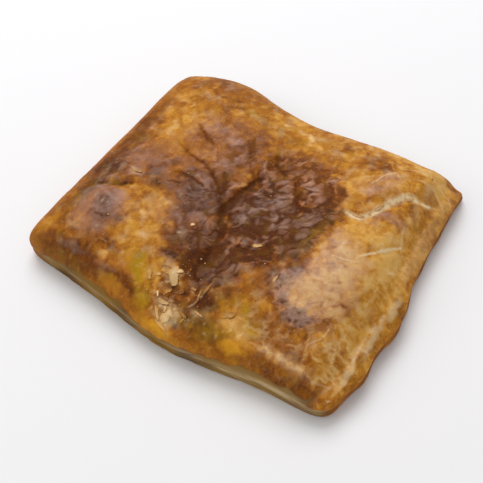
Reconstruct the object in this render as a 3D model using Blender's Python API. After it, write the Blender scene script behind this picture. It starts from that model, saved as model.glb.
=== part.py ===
"""A baked cheese and onion slice: a flat parcel of puff pastry, folded over along its left side and pressed
shut along its right side, solid from its blistered crust to its flat base.

Metres, +Z up. The slice lies on its base with the origin under the middle of its box, +X along its long
side towards the pressed edge and +Y across it, from the front cut side to the back one.
"""
import bmesh
import bpy
import numpy as np

NODE = "slice"
COLLECTION = "cheese_and_onion_slice"

# The parcel before it swells
LENGTH = 0.1384
DEPTH = 0.1120
MIDDLE_X, MIDDLE_Y = -0.00165, 0.00015
LIP_HEIGHT = 0.0075
BASE_INSET = 0.0015

# The crust: a quarter round up from the lip, then a slow swell over the filling
SHOULDER_RUN, SHOULDER_RISE = 0.0090, 0.0085
SWELL_RUN, SWELL_RISE, SWELL_POWER = 0.022, 0.0081, 1.6
CORNER_BLEND = 3

# How square each corner is: the power of its superellipse, and how fast that shape fades towards the middle
BACK_LEFT, BACK_RIGHT, FRONT_RIGHT, FRONT_LEFT = 8.0, 40.0, 15.0, 21.0
CORNER_TURN, CORNER_PULL = 0.6, 6

# The back right corner: how far it is drawn out backwards and over what reach, and how much thinner it is
TIP_SPREAD, TIP_OUT, TIP_REACH, TIP_THIN = 0.0120, 0.0032, 0.0060, 0.5

# Slant of the four sides, from a corner that spread further than its neighbours
SLANT, SPREAD = 0.0007, -0.0005

# Where the sides bow out or in: middle along the side, half width, reach outwards
RIGHT_BOWS = [(-0.0110, 0.0150, 0.0042), (-0.0350, 0.0080, 0.0024), (0.0450, 0.0200, -0.0007)]
LEFT_BOWS = [(-0.0200, 0.0140, -0.0004), (0.0180, 0.0130, -0.0004)]
BACK_BOWS = [
    (-0.0397, 0.0160, 0.0054), (0.0003, 0.0150, -0.0018), (0.0403, 0.0200, 0.0015), (0.0633, 0.0026, -0.0011),
]
FRONT_BOWS = [(0.0003, 0.0300, 0.0056), (-0.0417, 0.0200, 0.0006), (0.0483, 0.0160, -0.0008)]
BOW_POWER = 5

# The edge pressed shut: a low rim with a groove behind it
RIM_NEAR, RIM_FAR, RIM_DROP = 0.0035, 0.0150, 0.0055
GROOVE_FROM_EDGE, GROOVE_HALF_WIDTH, GROOVE_DEPTH = 0.0060, 0.0018, 0.0008

# Swellings and hollows of the crust: x, y, half width along x, along y, height
SWELLINGS = [
    (0.0424, -0.0060, 0.0250, 0.0280, 0.0050),
    (-0.0496, -0.0280, 0.0170, 0.0200, 0.0035),
    (-0.0396, 0.0420, 0.0210, 0.0140, 0.0040),
    (0.0384, 0.0400, 0.0230, 0.0140, 0.0035),
    (0.0064, 0.0040, 0.0230, 0.0250, -0.0045),
    (0.0004, -0.0450, 0.0140, 0.0140, -0.0045),
]

# Smaller blisters, pits and the flakes that lifted at the torn spot by the front edge
BLISTERS = [
    (-0.0500, -0.0110, 0.0080, 0.0060, 0.0012),
    (-0.0450, -0.0310, 0.0100, 0.0080, 0.0012),
    (0.0460, -0.0180, 0.0110, 0.0100, 0.0010),
    (0.0440, -0.0340, 0.0060, 0.0040, 0.0011),
    (0.0500, 0.0080, 0.0070, 0.0090, 0.0009),
    (-0.0160, 0.0340, 0.0090, 0.0070, 0.0010),
    (0.0120, 0.0420, 0.0090, 0.0060, 0.0009),
    (0.0010, -0.0090, 0.0030, 0.0050, 0.0008),
    (0.0240, -0.0450, 0.0070, 0.0060, -0.0008),
    (-0.0060, -0.0395, 0.0028, 0.0022, 0.0010),
    (-0.0070, -0.0490, 0.0020, 0.0020, 0.0008),
    (0.0030, -0.0540, 0.0040, 0.0030, 0.0012),
    (0.0000, -0.0445, 0.0040, 0.0030, -0.0012),
]

# The brow where the smooth right-hand swelling stands over the sunken, wrinkled middle
BROW = [(0.031, 0.036), (0.036, 0.014), (0.035, -0.004), (0.032, -0.013), (0.022, -0.022), (0.010, -0.034)]
BROW_RISE, BROW_RUN, BROW_FADE = 0.0016, 0.0040, 0.0180

# Creases and cracks of the crust: half width, depth, then the points they run through
CREASES = [
    (0.0026, 0.0012, [(0.001, 0.024), (-0.001, 0.011), (-0.004, 0.003), (-0.004, -0.008), (-0.001, -0.018),
                      (0.002, -0.030), (0.003, -0.040)]),
    (0.0024, 0.0012, [(0.012, 0.016), (0.015, 0.008), (0.022, 0.002), (0.032, -0.002)]),
    (0.0024, 0.0011, [(0.000, -0.019), (0.010, -0.021), (0.020, -0.017), (0.029, -0.010)]),
    (0.0017, 0.0005, [(-0.037, 0.020), (-0.032, 0.017), (-0.026, 0.015), (-0.021, 0.008)]),
    (0.0017, 0.0006, [(-0.038, 0.010), (-0.032, 0.006), (-0.020, 0.004), (-0.011, -0.001), (-0.004, -0.009)]),
    (0.0017, 0.0005, [(-0.030, -0.004), (-0.018, -0.006), (-0.010, -0.012)]),
    (0.0022, 0.0014, [(-0.058, -0.024), (-0.050, -0.021), (-0.043, -0.018)]),
    (0.0016, 0.0011, [(0.038, 0.012), (0.043, 0.013), (0.047, 0.022), (0.052, 0.031), (0.061, 0.040)]),
    (0.0013, 0.0007, [(0.052, 0.001), (0.056, 0.006), (0.060, 0.016)]),
    (0.0024, 0.0012, [(-0.021, -0.042), (-0.015, -0.050), (-0.009, -0.055)]),
]

# Wrinkles of the sunken middle: middle of the patch, half widths, and crest height of three crossing waves
WRINKLE_AT, WRINKLE_SIZE, WRINKLE_HEIGHT = (0.006, -0.002), (0.030, 0.030), 0.0007
WRINKLE_WAVES = [(830.0, 240.0, 0.4), (-310.0, 760.0, 1.9), (560.0, -640.0, 3.1)]

# Leaves of pastry down the sides, from the lip to the base: share of the lip's height, and how far they stand in
LEAVES = [(1.0, 0.0), (0.80, 0.0001), (0.55, -0.0003), (0.30, 0.0001), (0.12, 0.0004), (0.0, BASE_INSET)]
LEAF_WAVE, LEAF_WAVES, LEAF_LAG = 0.0004, 23, 9.0

LID_COLUMNS, LID_ROWS = 66, 54

# The least length or share that a ratio is taken over
TINY = 1e-9

CRUST_COLOUR = (0.42, 0.20, 0.055, 1.0)
CRUST_ROUGHNESS, CRUST_METALLIC = 0.38, 0.0


def bell(t, middle, half_width):
    """A bell of height 1 over the middle: e to the minus square of the distance in half widths."""
    return np.exp(-(((t - middle) / half_width) ** 2))


def ease(t, start, end):
    """0 before start, 1 after end, and an S curve between them."""
    s = np.clip((t - start) / (end - start), 0, 1)
    return s * s * (3 - 2 * s)


def edge_share(s, shoulder):
    """Spreads even grid places -1 to 1 so that the rows crowd evenly round the shoulder's quarter circle."""
    inner = 1 - shoulder
    turn = inner / (inner + shoulder * np.pi / 2)
    place = np.abs(s)
    round_over = np.sin(np.pi / 2 * np.clip((place - turn) / (1 - turn), 0, 1))
    return np.sign(s) * np.where(place < turn, place / turn * inner, inner + shoulder * round_over)


def tip_share(u, v, reach):
    """1 at the back right corner and less away from it: there the parcel is pressed out to a thin tip."""
    return bell(LENGTH / 2 * (1 - u), 0, reach) * bell(DEPTH / 2 * (1 - v), 0, reach)


def outline(u, v):
    """Plan of the lid: a rectangle with superellipse corners, whose sides bow by the sum of their bells, and
    whose back right corner is drawn out."""
    reach = np.maximum(np.maximum(np.abs(u), np.abs(v)), TINY)
    east = ease(u / reach, -CORNER_TURN, CORNER_TURN)
    north = ease(v / reach, -CORNER_TURN, CORNER_TURN)
    power = north * (east * BACK_RIGHT + (1 - east) * BACK_LEFT)
    power += (1 - north) * (east * FRONT_RIGHT + (1 - east) * FRONT_LEFT)
    corner = (np.abs(u) / reach) ** power + (np.abs(v) / reach) ** power
    pull = 1 + (np.maximum(corner, 1) ** (-1 / power) - 1) * reach ** CORNER_PULL
    x = LENGTH / 2 * u * pull + MIDDLE_X
    y = DEPTH / 2 * v * pull + MIDDLE_Y
    right = sum(out * bell(y, at, width) for at, width, out in RIGHT_BOWS)
    left = sum(out * bell(y, at, width) for at, width, out in LEFT_BOWS)
    back = sum(out * bell(x, at, width) for at, width, out in BACK_BOWS)
    front = sum(out * bell(x, at, width) for at, width, out in FRONT_BOWS)
    bowed_x = x + np.clip(u, 0, 1) ** BOW_POWER * right - np.clip(-u, 0, 1) ** BOW_POWER * left
    bowed_y = y + np.clip(v, 0, 1) ** BOW_POWER * back - np.clip(-v, 0, 1) ** BOW_POWER * front
    return bowed_x + SLANT * v + SPREAD * u * v, bowed_y + TIP_OUT * tip_share(u, v, TIP_SPREAD)


def along(x, y, points):
    """Distance from each place to a line of points, the side of it, plus to the right of its run, and how far
    along the line the nearest place is, from 0 to 1."""
    nearest, side, share_along = np.full(x.shape, np.inf), np.ones(x.shape), np.zeros(x.shape)
    for number, ((x0, y0), (x1, y1)) in enumerate(zip(points[:-1], points[1:])):
        run_x, run_y = x1 - x0, y1 - y0
        share = np.clip(((x - x0) * run_x + (y - y0) * run_y) / (run_x ** 2 + run_y ** 2), 0, 1)
        off_x, off_y = x - x0 - share * run_x, y - y0 - share * run_y
        distance = np.hypot(off_x, off_y)
        closer = distance < nearest
        side = np.where(closer, np.sign(off_x * run_y - off_y * run_x), side)
        share_along = np.where(closer, (number + share) / (len(points) - 1), share_along)
        nearest = np.minimum(nearest, distance)
    return nearest, side, share_along


def relief(x, y):
    """Height of blisters, brow, creases and wrinkles over the smooth crust. The brow fades towards its ends."""
    height = sum(tall * bell(x, at_x, wide_x) * bell(y, at_y, wide_y)
                 for at_x, at_y, wide_x, wide_y, tall in SWELLINGS + BLISTERS)
    distance, side, share = along(x, y, BROW)
    step = ease(distance * side, -BROW_RUN / 2, BROW_RUN / 2) * np.sin(np.pi * share)
    height += BROW_RISE * step * bell(distance, 0, BROW_FADE)
    for half_width, depth, points in CREASES:
        height -= depth * bell(along(x, y, points)[0], 0, half_width)
    waves = sum(1 - 2 * np.abs(np.sin(a * x + b * y + phase)) for a, b, phase in WRINKLE_WAVES) / len(WRINKLE_WAVES)
    patch = bell(x, WRINKLE_AT[0], WRINKLE_SIZE[0]) * bell(y, WRINKLE_AT[1], WRINKLE_SIZE[1])
    return height + WRINKLE_HEIGHT * waves * patch


def crust(u, v):
    """Height of the lid: lip, quarter round and swell, less the pressed rim and its groove, plus the relief,
    all of it lower at the tip."""
    x, y = outline(u, v)
    from_x, from_y = LENGTH / 2 * (1 - np.abs(u)), DEPTH / 2 * (1 - np.abs(v))
    nearer = np.maximum(from_x, TINY) ** -CORNER_BLEND + np.maximum(from_y, TINY) ** -CORNER_BLEND
    inward = nearer ** (-1 / CORNER_BLEND)
    quarter = np.sqrt(1 - (1 - np.clip(inward / SHOULDER_RUN, 0, 1)) ** 2)
    swell = 1 - np.exp(-((inward / SWELL_RUN) ** SWELL_POWER))
    from_right = LENGTH / 2 * (1 - u)
    rim = RIM_DROP * (1 - ease(from_right, RIM_NEAR, RIM_FAR)) * quarter
    groove = GROOVE_DEPTH * bell(from_right, GROOVE_FROM_EDGE, GROOVE_HALF_WIDTH)
    inside = ease(inward, 0, SHOULDER_RUN / 2)
    height = LIP_HEIGHT + SHOULDER_RISE * quarter + SWELL_RISE * swell - rim - groove * inside
    height += relief(x, y) * inside
    return x, y, height * (1 - TIP_THIN * tip_share(u, v, TIP_REACH))


def add_lid(mesh):
    """The top of the parcel: a flat grid of two by two, drawn out to its plan and raised to its height."""
    bmesh.ops.create_grid(mesh, x_segments=LID_COLUMNS, y_segments=LID_ROWS, size=1)
    flat = np.array([vertex.co for vertex in mesh.verts])
    u = edge_share(flat[:, 0], 2 * SHOULDER_RUN / LENGTH)
    v = edge_share(flat[:, 1], 2 * SHOULDER_RUN / DEPTH)
    for vertex, place in zip(mesh.verts, np.stack(crust(u, v), axis=1)):
        vertex.co = place


def stand_in(turn, share, inset):
    """How far a leaf stands in from the lip at this turn round the slice: its inset and a slow wave of its own,
    which is widest at half the lip's height."""
    return inset + LEAF_WAVE * share * (1 - share) * 4 * np.sin(LEAF_WAVES * turn + LEAF_LAG * share)


def add_side(mesh):
    """The sides, leaf by leaf down to the base: the lip's loop extruded, and each loop drawn in or out."""
    edges = [edge for edge in mesh.edges if edge.is_boundary]
    for above, leaf in zip(LEAVES[:-1], LEAVES[1:]):
        grown = bmesh.ops.extrude_edge_only(mesh, edges=edges)["geom"]
        edges = [piece for piece in grown if isinstance(piece, bmesh.types.BMEdge) and piece.is_boundary]
        for vertex in [piece for piece in grown if isinstance(piece, bmesh.types.BMVert)]:
            turn = np.arctan2(vertex.co.y / DEPTH, vertex.co.x / LENGTH)
            vertex.co.z *= leaf[0] / above[0]
            vertex.co.xy -= vertex.co.xy.normalized() * (stand_in(turn, *leaf) - stand_in(turn, *above))
    bmesh.ops.contextual_create(mesh, geom=edges)


def centre_on_base(mesh):
    """Moves the slice so that the middle of its box is over the origin and its base at height 0."""
    places = np.array([vertex.co for vertex in mesh.verts])
    middle = (places.min(axis=0) + places.max(axis=0)) / 2
    bmesh.ops.translate(mesh, vec=(-middle[0], -middle[1], -places[:, 2].min()), verts=mesh.verts)


def crust_material():
    """Glazed, browned puff pastry."""
    material = bpy.data.materials.new("baked_crust")
    material.use_nodes = True
    shader = material.node_tree.nodes["Principled BSDF"]
    shader.inputs["Base Color"].default_value = CRUST_COLOUR
    shader.inputs["Roughness"].default_value = CRUST_ROUGHNESS
    shader.inputs["Metallic"].default_value = CRUST_METALLIC
    return material


def make_slice(collection):
    """The whole slice as one closed solid."""
    mesh = bmesh.new()
    add_lid(mesh)
    add_side(mesh)
    centre_on_base(mesh)
    bmesh.ops.recalc_face_normals(mesh, faces=mesh.faces)
    data = bpy.data.meshes.new(NODE)
    mesh.to_mesh(data)
    mesh.free()
    data.materials.append(crust_material())
    data.shade_smooth()
    collection.objects.link(bpy.data.objects.new(NODE, data))


for leftover in list(bpy.data.objects):
    bpy.data.objects.remove(leftover, do_unlink=True)
parts = bpy.data.collections.new(COLLECTION)
bpy.context.scene.collection.children.link(parts)
make_slice(parts)
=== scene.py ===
"""A baked cheese and onion slice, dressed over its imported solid: base sheet, side leaves, browned lid,
lifted flakes and crumbs.

Lengths here are millimetres in the solid's own frame, with the origin under the middle of the slice, +X
towards its pressed edge and +Y towards its back cut side. A mesh turns them into metres as it is made.
"""
import bpy
import numpy as np
from mathutils import Matrix, Vector


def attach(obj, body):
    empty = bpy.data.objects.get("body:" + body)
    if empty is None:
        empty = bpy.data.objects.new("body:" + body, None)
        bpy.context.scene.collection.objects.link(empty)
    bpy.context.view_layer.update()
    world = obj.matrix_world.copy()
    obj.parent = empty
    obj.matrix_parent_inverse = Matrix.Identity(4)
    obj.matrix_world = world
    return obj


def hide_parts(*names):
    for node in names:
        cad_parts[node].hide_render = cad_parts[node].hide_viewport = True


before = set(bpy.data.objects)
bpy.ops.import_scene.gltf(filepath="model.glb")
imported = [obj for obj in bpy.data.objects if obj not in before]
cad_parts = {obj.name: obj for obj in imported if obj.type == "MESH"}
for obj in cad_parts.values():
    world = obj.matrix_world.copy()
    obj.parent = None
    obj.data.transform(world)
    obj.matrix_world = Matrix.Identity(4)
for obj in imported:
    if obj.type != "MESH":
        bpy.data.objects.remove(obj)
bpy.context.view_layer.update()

# The base sheet
# The lower sheet of puff pastry, which carries the filling. It bakes flat on an oiled tray, so its underside
# is plain, evenly golden brown and a little floury, and its edge turns in where the tray scorched it.
MM = 0.001
LENGTH, DEPTH = 138.4, 112.0
MIDDLE_X, MIDDLE_Y = -1.65, 0.15
BASE_INSET, BASE_TOP, PIT_DEPTH = 1.5, 1.3, 0.25
SHOULDER_RUN = 9.0
# How square each corner is, the sides' slant, and each side's bows: middle, half width and height
BACK_LEFT, BACK_RIGHT, FRONT_RIGHT, FRONT_LEFT = 8.0, 40.0, 15.0, 21.0
CORNER_TURN, CORNER_PULL = 0.6, 6
SLANT, SPREAD = 0.7, -0.5
RIGHT_BOWS = [(-11.0, 15.0, 4.2), (-35.0, 8.0, 2.4), (45.0, 20.0, -0.7)]
LEFT_BOWS = [(-20.0, 14.0, -0.4), (18.0, 13.0, -0.4)]
BACK_BOWS = [(-39.7, 16.0, 5.4), (0.3, 15.0, -1.8), (40.3, 20.0, 1.5), (63.3, 2.6, -1.1)]
FRONT_BOWS = [(0.3, 30.0, 5.6), (-41.7, 20.0, 0.6), (48.3, 16.0, -0.8)]
BOW_POWER = 5
# The back right corner is drawn out: over what reach, and how far
TIP_SPREAD, TIP_OUT = 12.0, 3.2
LID_GRID, BASE_GRID = (330, 280), (150, 124)
# Rings from the underside's edge up to the sheet's top: how far each stands in, and its height
BASE_RINGS = [(-0.7, 0.35), (-1.05, 0.9), (-1.0, BASE_TOP), (2.0, BASE_TOP)]
LATTICE = 61
TINY = 1e-6


def bell(t, middle, half_width):
    """A bell of height 1 over the middle: e to the minus square of the distance in half widths."""
    return np.exp(-(((t - middle) / half_width) ** 2))


def ease(t, start, end):
    """0 before start, 1 after end, and an S curve between them."""
    s = np.clip((t - start) / (end - start), 0, 1)
    return s * s * (3 - 2 * s)


def noise(x, y, size, seed):
    """Smooth noise from about -1 to 1: random slopes at the corners of squares of one size, blended."""
    angle = np.random.default_rng(seed).uniform(0, 2 * np.pi, (LATTICE, LATTICE))
    u, v = x / size + seed, y / size - seed
    i, j = np.floor(u).astype(int), np.floor(v).astype(int)
    f, g = u - i, v - j

    def slope(right, up):
        turn = angle[(i + right) % LATTICE, (j + up) % LATTICE]
        return np.cos(turn) * (f - right) + np.sin(turn) * (g - up)

    s, t = f * f * f * (f * (6 * f - 15) + 10), g * g * g * (g * (6 * g - 15) + 10)
    low = slope(0, 0) * (1 - s) + slope(1, 0) * s
    high = slope(0, 1) * (1 - s) + slope(1, 1) * s
    return 1.5 * (low * (1 - t) + high * t)


def layers(x, y, size, seed, count=3):
    """Noise summed over finer sizes, each half the size and half the strength of the one before."""
    total = sum(0.5 ** k * noise(x, y, size / 2 ** k, seed + k) for k in range(count))
    return total / (2 - 0.5 ** (count - 1))


def edge_share(s, shoulder):
    """Spreads even grid places -1 to 1 so that the rows crowd evenly round the shoulder's quarter circle."""
    inner = 1 - shoulder
    turn = inner / (inner + shoulder * np.pi / 2)
    place = np.abs(s)
    round_over = np.sin(np.pi / 2 * np.clip((place - turn) / (1 - turn), 0, 1))
    return np.sign(s) * np.where(place < turn, place / turn * inner, inner + shoulder * round_over)


def plan_grid(columns, rows):
    """Shares -1 to 1 of the half length and half depth over a grid, crowded towards the edges."""
    s, t = np.meshgrid(np.linspace(-1, 1, columns + 1), np.linspace(-1, 1, rows + 1), indexing="ij")
    return edge_share(s, 2 * SHOULDER_RUN / LENGTH), edge_share(t, 2 * SHOULDER_RUN / DEPTH)


def tip_share(u, v, reach):
    """1 at the back right corner and less away from it: there the parcel is pressed out to a thin tip."""
    return bell(LENGTH / 2 * (1 - u), 0, reach) * bell(DEPTH / 2 * (1 - v), 0, reach)


def outline(u, v):
    """Plan of the slice: a rectangle with superellipse corners, whose sides bow by the sum of their bells,
    and whose back right corner is drawn out."""
    reach = np.maximum(np.maximum(np.abs(u), np.abs(v)), TINY)
    east = ease(u / reach, -CORNER_TURN, CORNER_TURN)
    north = ease(v / reach, -CORNER_TURN, CORNER_TURN)
    power = north * (east * BACK_RIGHT + (1 - east) * BACK_LEFT)
    power += (1 - north) * (east * FRONT_RIGHT + (1 - east) * FRONT_LEFT)
    corner = (np.abs(u) / reach) ** power + (np.abs(v) / reach) ** power
    pull = 1 + (np.maximum(corner, 1) ** (-1 / power) - 1) * reach ** CORNER_PULL
    x = LENGTH / 2 * u * pull + MIDDLE_X
    y = DEPTH / 2 * v * pull + MIDDLE_Y
    right = sum(out * bell(y, at, width) for at, width, out in RIGHT_BOWS)
    left = sum(out * bell(y, at, width) for at, width, out in LEFT_BOWS)
    back = sum(out * bell(x, at, width) for at, width, out in BACK_BOWS)
    front = sum(out * bell(x, at, width) for at, width, out in FRONT_BOWS)
    bowed_x = x + np.clip(u, 0, 1) ** BOW_POWER * right - np.clip(-u, 0, 1) ** BOW_POWER * left
    bowed_y = y + np.clip(v, 0, 1) ** BOW_POWER * back - np.clip(-v, 0, 1) ** BOW_POWER * front
    return bowed_x + SLANT * v + SPREAD * u * v, bowed_y + TIP_OUT * tip_share(u, v, TIP_SPREAD)


def rim(grid):
    """What lies along a grid's edge, in one turn from its first corner, each corner once."""
    return np.concatenate([grid[:, 0], grid[-1, 1:], grid[-2::-1, -1], grid[0, -2:0:-1]])


def drawn_in(loop, inset, height):
    """A loop of plan points moved towards the middle by an inset, at a height."""
    inward = loop / np.linalg.norm(loop, axis=-1, keepdims=True)
    plan = loop - inward * np.broadcast_to(inset, len(loop))[:, None]
    return np.column_stack([plan, np.broadcast_to(height, len(loop))])


def band_quads(number):
    """Quads round a closed band of rings, from its points' numbers, top ring first, facing outwards."""
    after = np.roll(number, -1, axis=1)
    return np.stack([number[:-1], number[1:], after[1:], after[:-1]], axis=-1).reshape(-1, 4)


def make_mesh(name, points, quads, triangles):
    """A smooth mesh from points in millimetres and from faces listed by the numbers of their corners."""
    data = bpy.data.meshes.new(name)
    data.from_pydata((points * MM).tolist(), [], quads.tolist() + triangles.tolist())
    data.validate()
    data.shade_smooth()
    return data


def grid_quads(number):
    """Quads between the neighbours of a grid, from its points' numbers, facing up."""
    corners = [number[:-1, :-1], number[1:, :-1], number[1:, 1:], number[:-1, 1:]]
    return np.stack(corners, axis=-1).reshape(-1, 4)


def fan(ring, point):
    """Triangles from each step along a ring of points' numbers down to one point."""
    return np.column_stack([np.roll(ring, -1), ring, np.full(len(ring), point)])


def closed_sheet(name, grid, rings, facing_up):
    """A closed body: a grid, rings that carry on from its edge, and a fan from the last ring inwards."""
    columns, rows = grid.shape[:2]
    number = np.arange(columns * rows).reshape(columns, rows)
    beyond = number.size + np.arange(len(rings) * len(rings[0])).reshape(len(rings), -1)
    quads = np.concatenate([grid_quads(number), band_quads(np.concatenate([rim(number)[None], beyond]))])
    triangles = fan(beyond[-1], beyond[-1, -1] + 1)
    points = np.concatenate([grid.reshape(-1, 3), *rings, rings[-1].mean(axis=0)[None]])
    if not facing_up:
        quads, triangles = quads[:, ::-1], triangles[:, ::-1]
    return make_mesh(name, points, quads, triangles)


def paint(data, **marks):
    """Stores each mark as an attribute of its name. Points past the last value take that value."""
    for name, values in marks.items():
        every = np.pad(values.ravel(), (0, len(data.vertices) - values.size), mode="edge")
        data.attributes.new(name, "FLOAT", "POINT").data.foreach_set("value", every.astype(np.float32))


def seat(name, data, material):
    """Adds a finished piece to the scene, riding on the slice's only body."""
    data.materials.append(material)
    piece = bpy.data.objects.new(name, data)
    bpy.context.scene.collection.objects.link(piece)
    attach(piece, "root")
    return piece


def seen(red, green, blue):
    """A colour as the eye sees it, 0 to 255 a channel, as the linear values that a shader takes."""
    share = np.array([red, green, blue]) / 255
    return (*np.where(share <= 0.04045, share / 12.92, ((share + 0.055) / 1.055) ** 2.4), 1.0)


# The colours that dough takes as it bakes, from raw to scorched, then those that tint it: a painted sheen,
# the lamps' reflection in the glaze painted into the colour, with its share, oil, a glowing orange and the
# cream of inner leaves
BROWNING = [
    (0.00, seen(228, 204, 152)), (0.15, seen(226, 178, 98)), (0.30, seen(216, 158, 70)),
    (0.45, seen(193, 128, 40)), (0.60, seen(158, 93, 23)), (0.75, seen(121, 65, 14)),
    (0.90, seen(85, 41, 9)), (1.00, seen(60, 28, 6)),
]
PAINTED_SHEEN, PAINTED_SHEEN_SHARE = seen(200, 158, 138), 0.45
OIL, EMBER, CREAM = seen(178, 134, 14), seen(225, 158, 36), seen(242, 214, 166)
BLOTCH_SIZE, FLECK_SIZE = 2.6, 0.7
GRAIN_STRENGTH, GLAZE_SMOOTHS, COAT_ROUGHNESS, DOUGH_SPECULAR = 0.7, 0.2, 0.28, 0.1
SCATTER, SCATTER_REACH, SCATTER_COLOURS = 0.05, 2.0, (1.0, 0.5, 0.2)


def math_node(tree, operation, first, second, third=0.0, clamp=False):
    """A math node on sockets or plain numbers, and its result."""
    node = tree.nodes.new("ShaderNodeMath")
    node.operation = operation
    node.use_clamp = clamp
    for slot, value in enumerate((first, second, third)):
        if isinstance(value, float):
            node.inputs[slot].default_value = value
        else:
            tree.links.new(value, node.inputs[slot])
    return node.outputs[0]


def tint(tree, share, under, over):
    """A colour socket mixed towards a fixed colour by a share."""
    mix = tree.nodes.new("ShaderNodeMix")
    mix.data_type = "RGBA"
    tree.links.new(share, mix.inputs[0])
    tree.links.new(under, mix.inputs[6])
    mix.inputs[7].default_value = over
    return mix.outputs[2]


def speckle(tree, place, size, detail):
    """Layered noise with features of a size in millimetres, centred on 0."""
    node = tree.nodes.new("ShaderNodeTexNoise")
    node.inputs["Scale"].default_value = 1 / (size * MM)
    node.inputs["Detail"].default_value = detail
    node.inputs["Roughness"].default_value = 0.6
    tree.links.new(place, node.inputs["Vector"])
    return math_node(tree, "SUBTRACT", node.outputs["Fac"], 0.5)


def make_dough_group():
    """Baked dough: the browning scale read at the bake mark and its speckle, then tinted by the others."""
    group = bpy.data.node_groups.new("baked_dough", "ShaderNodeTree")
    for name in ("Bake", "Glaze_And_Sheen", "Oil", "Ember", "Pale", "Speckle"):
        group.interface.new_socket(name=name, in_out="INPUT", socket_type="NodeSocketFloat")
    group.interface.new_socket(name="Color", in_out="OUTPUT", socket_type="NodeSocketColor")
    group.interface.new_socket(name="Grain", in_out="OUTPUT", socket_type="NodeSocketFloat")
    mark = group.nodes.new("NodeGroupInput").outputs
    place = group.nodes.new("ShaderNodeTexCoord").outputs["Object"]
    blotch, fleck = speckle(group, place, BLOTCH_SIZE, 4.0), speckle(group, place, FLECK_SIZE, 3.0)
    grain = math_node(group, "ADD", blotch, fleck)
    bake = math_node(group, "MULTIPLY_ADD", grain, mark["Speckle"], mark["Bake"], clamp=True)
    scale = group.nodes.new("ShaderNodeValToRGB")
    for number, (at, colour) in enumerate(BROWNING):
        stop = scale.color_ramp.elements[number] if number < 2 else scale.color_ramp.elements.new(at)
        stop.position = at
        stop.color = colour
    group.links.new(bake, scale.inputs["Fac"])
    # The glaze mark also tints towards the painted sheen: the lamps' reflection painted into the colour
    painted_sheen = math_node(group, "MULTIPLY", mark["Glaze_And_Sheen"], PAINTED_SHEEN_SHARE)
    colour = tint(group, painted_sheen, scale.outputs["Color"], PAINTED_SHEEN)
    colour = tint(group, mark["Oil"], colour, OIL)
    colour = tint(group, mark["Ember"], colour, EMBER)
    colour = tint(group, mark["Pale"], colour, CREAM)
    out = group.nodes.new("NodeGroupOutput")
    group.links.new(colour, out.inputs["Color"])
    group.links.new(grain, out.inputs["Grain"])
    return group


baked_dough = make_dough_group()


def dough_material(name, marks, speckle_share, roughness, coat, grain_height):
    """Baked dough whose colour the group works out from the piece's marks, with a fine grain in relief."""
    material = bpy.data.materials.new(name)
    material.use_nodes = True
    tree = material.node_tree
    shader = tree.nodes["Principled BSDF"]
    dough = tree.nodes.new("ShaderNodeGroup")
    dough.node_tree = baked_dough
    dough.inputs["Speckle"].default_value = speckle_share
    found = {}
    for mark in marks:
        node = tree.nodes.new("ShaderNodeAttribute")
        node.attribute_name = mark
        found[mark] = node.outputs["Fac"]
        tree.links.new(found[mark], dough.inputs[mark.title()])
    tree.links.new(dough.outputs["Color"], shader.inputs["Base Color"])
    bump = tree.nodes.new("ShaderNodeBump")
    bump.inputs["Strength"].default_value = GRAIN_STRENGTH
    bump.inputs["Distance"].default_value = grain_height * MM
    tree.links.new(dough.outputs["Grain"], bump.inputs["Height"])
    tree.links.new(bump.outputs["Normal"], shader.inputs["Normal"])
    shader.inputs["Roughness"].default_value = roughness
    shader.inputs["Coat Weight"].default_value = coat
    shader.inputs["Coat Roughness"].default_value = COAT_ROUGHNESS
    shader.inputs["Specular IOR Level"].default_value = DOUGH_SPECULAR
    if "glaze_and_sheen" in found:
        smoother = math_node(tree, "MULTIPLY_ADD", found["glaze_and_sheen"], -GLAZE_SMOOTHS, roughness)
        tree.links.new(smoother, shader.inputs["Roughness"])
        tree.links.new(math_node(tree, "MULTIPLY", found["glaze_and_sheen"], coat), shader.inputs["Coat Weight"])
    shader.inputs["Subsurface Weight"].default_value = SCATTER
    shader.inputs["Subsurface Radius"].default_value = SCATTER_COLOURS
    shader.inputs["Subsurface Scale"].default_value = SCATTER_REACH * MM
    return material


# The slice's frame has its origin under the middle of the lip's box
lid_u, lid_v = plan_grid(*LID_GRID)
lip_plan = np.dstack(outline(lid_u, lid_v))
shift_x, shift_y = (lip_plan.min(axis=(0, 1)) + lip_plan.max(axis=(0, 1))) / 2
base_u, base_v = plan_grid(*BASE_GRID)
base_plan = np.dstack(outline(base_u, base_v)) - (shift_x, shift_y)
away = np.linalg.norm(base_plan, axis=-1, keepdims=True)
reach = np.maximum(np.abs(base_u), np.abs(base_v))
base_plan *= 1 - BASE_INSET / np.maximum(away, 1) * reach[..., None] ** 2
base_x, base_y = base_plan[..., 0], base_plan[..., 1]
pits = ease(layers(base_x, base_y, 5.0, 3), 0.1, 0.6) * (1 - reach ** 12)
base_rings = [drawn_in(rim(base_plan), inset, height) for inset, height in BASE_RINGS]
base_data = closed_sheet("base_sheet", np.dstack([base_plan, PIT_DEPTH * pits]), base_rings, facing_up=False)
base_bake = 0.52 + 0.22 * layers(base_x, base_y, 16.0, 11) + 0.10 * layers(base_x, base_y, 3.0, 15)
base_bake += 0.16 * ease(reach, 0.86, 1)
base_flour = 0.35 * ease(layers(base_x, base_y, 9.0, 19, 4), 0.12, 0.6)
paint(base_data, bake=base_bake, pale=base_flour)
base_skin = dough_material("tray_baked_dough", ("bake", "pale"), 0.18, 0.62, 0.0, 0.25)
seat("base_sheet", base_data, base_skin)

# The side leaves
# Puff pastry is dough and butter folded into dozens of leaves. Along the cut sides they show as a pale,
# wavy, stepped band, dark in the gaps between leaves. The left side is a fold and the right one is pressed
# shut, so there the outer leaf is browned.
LIP_HEIGHT = 7.5
SIDE_ROWS, SIDE_TOP, SIDE_LOW, MIDDLE_SUNK = 40, 7.6, 1.0, 0.4
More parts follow.
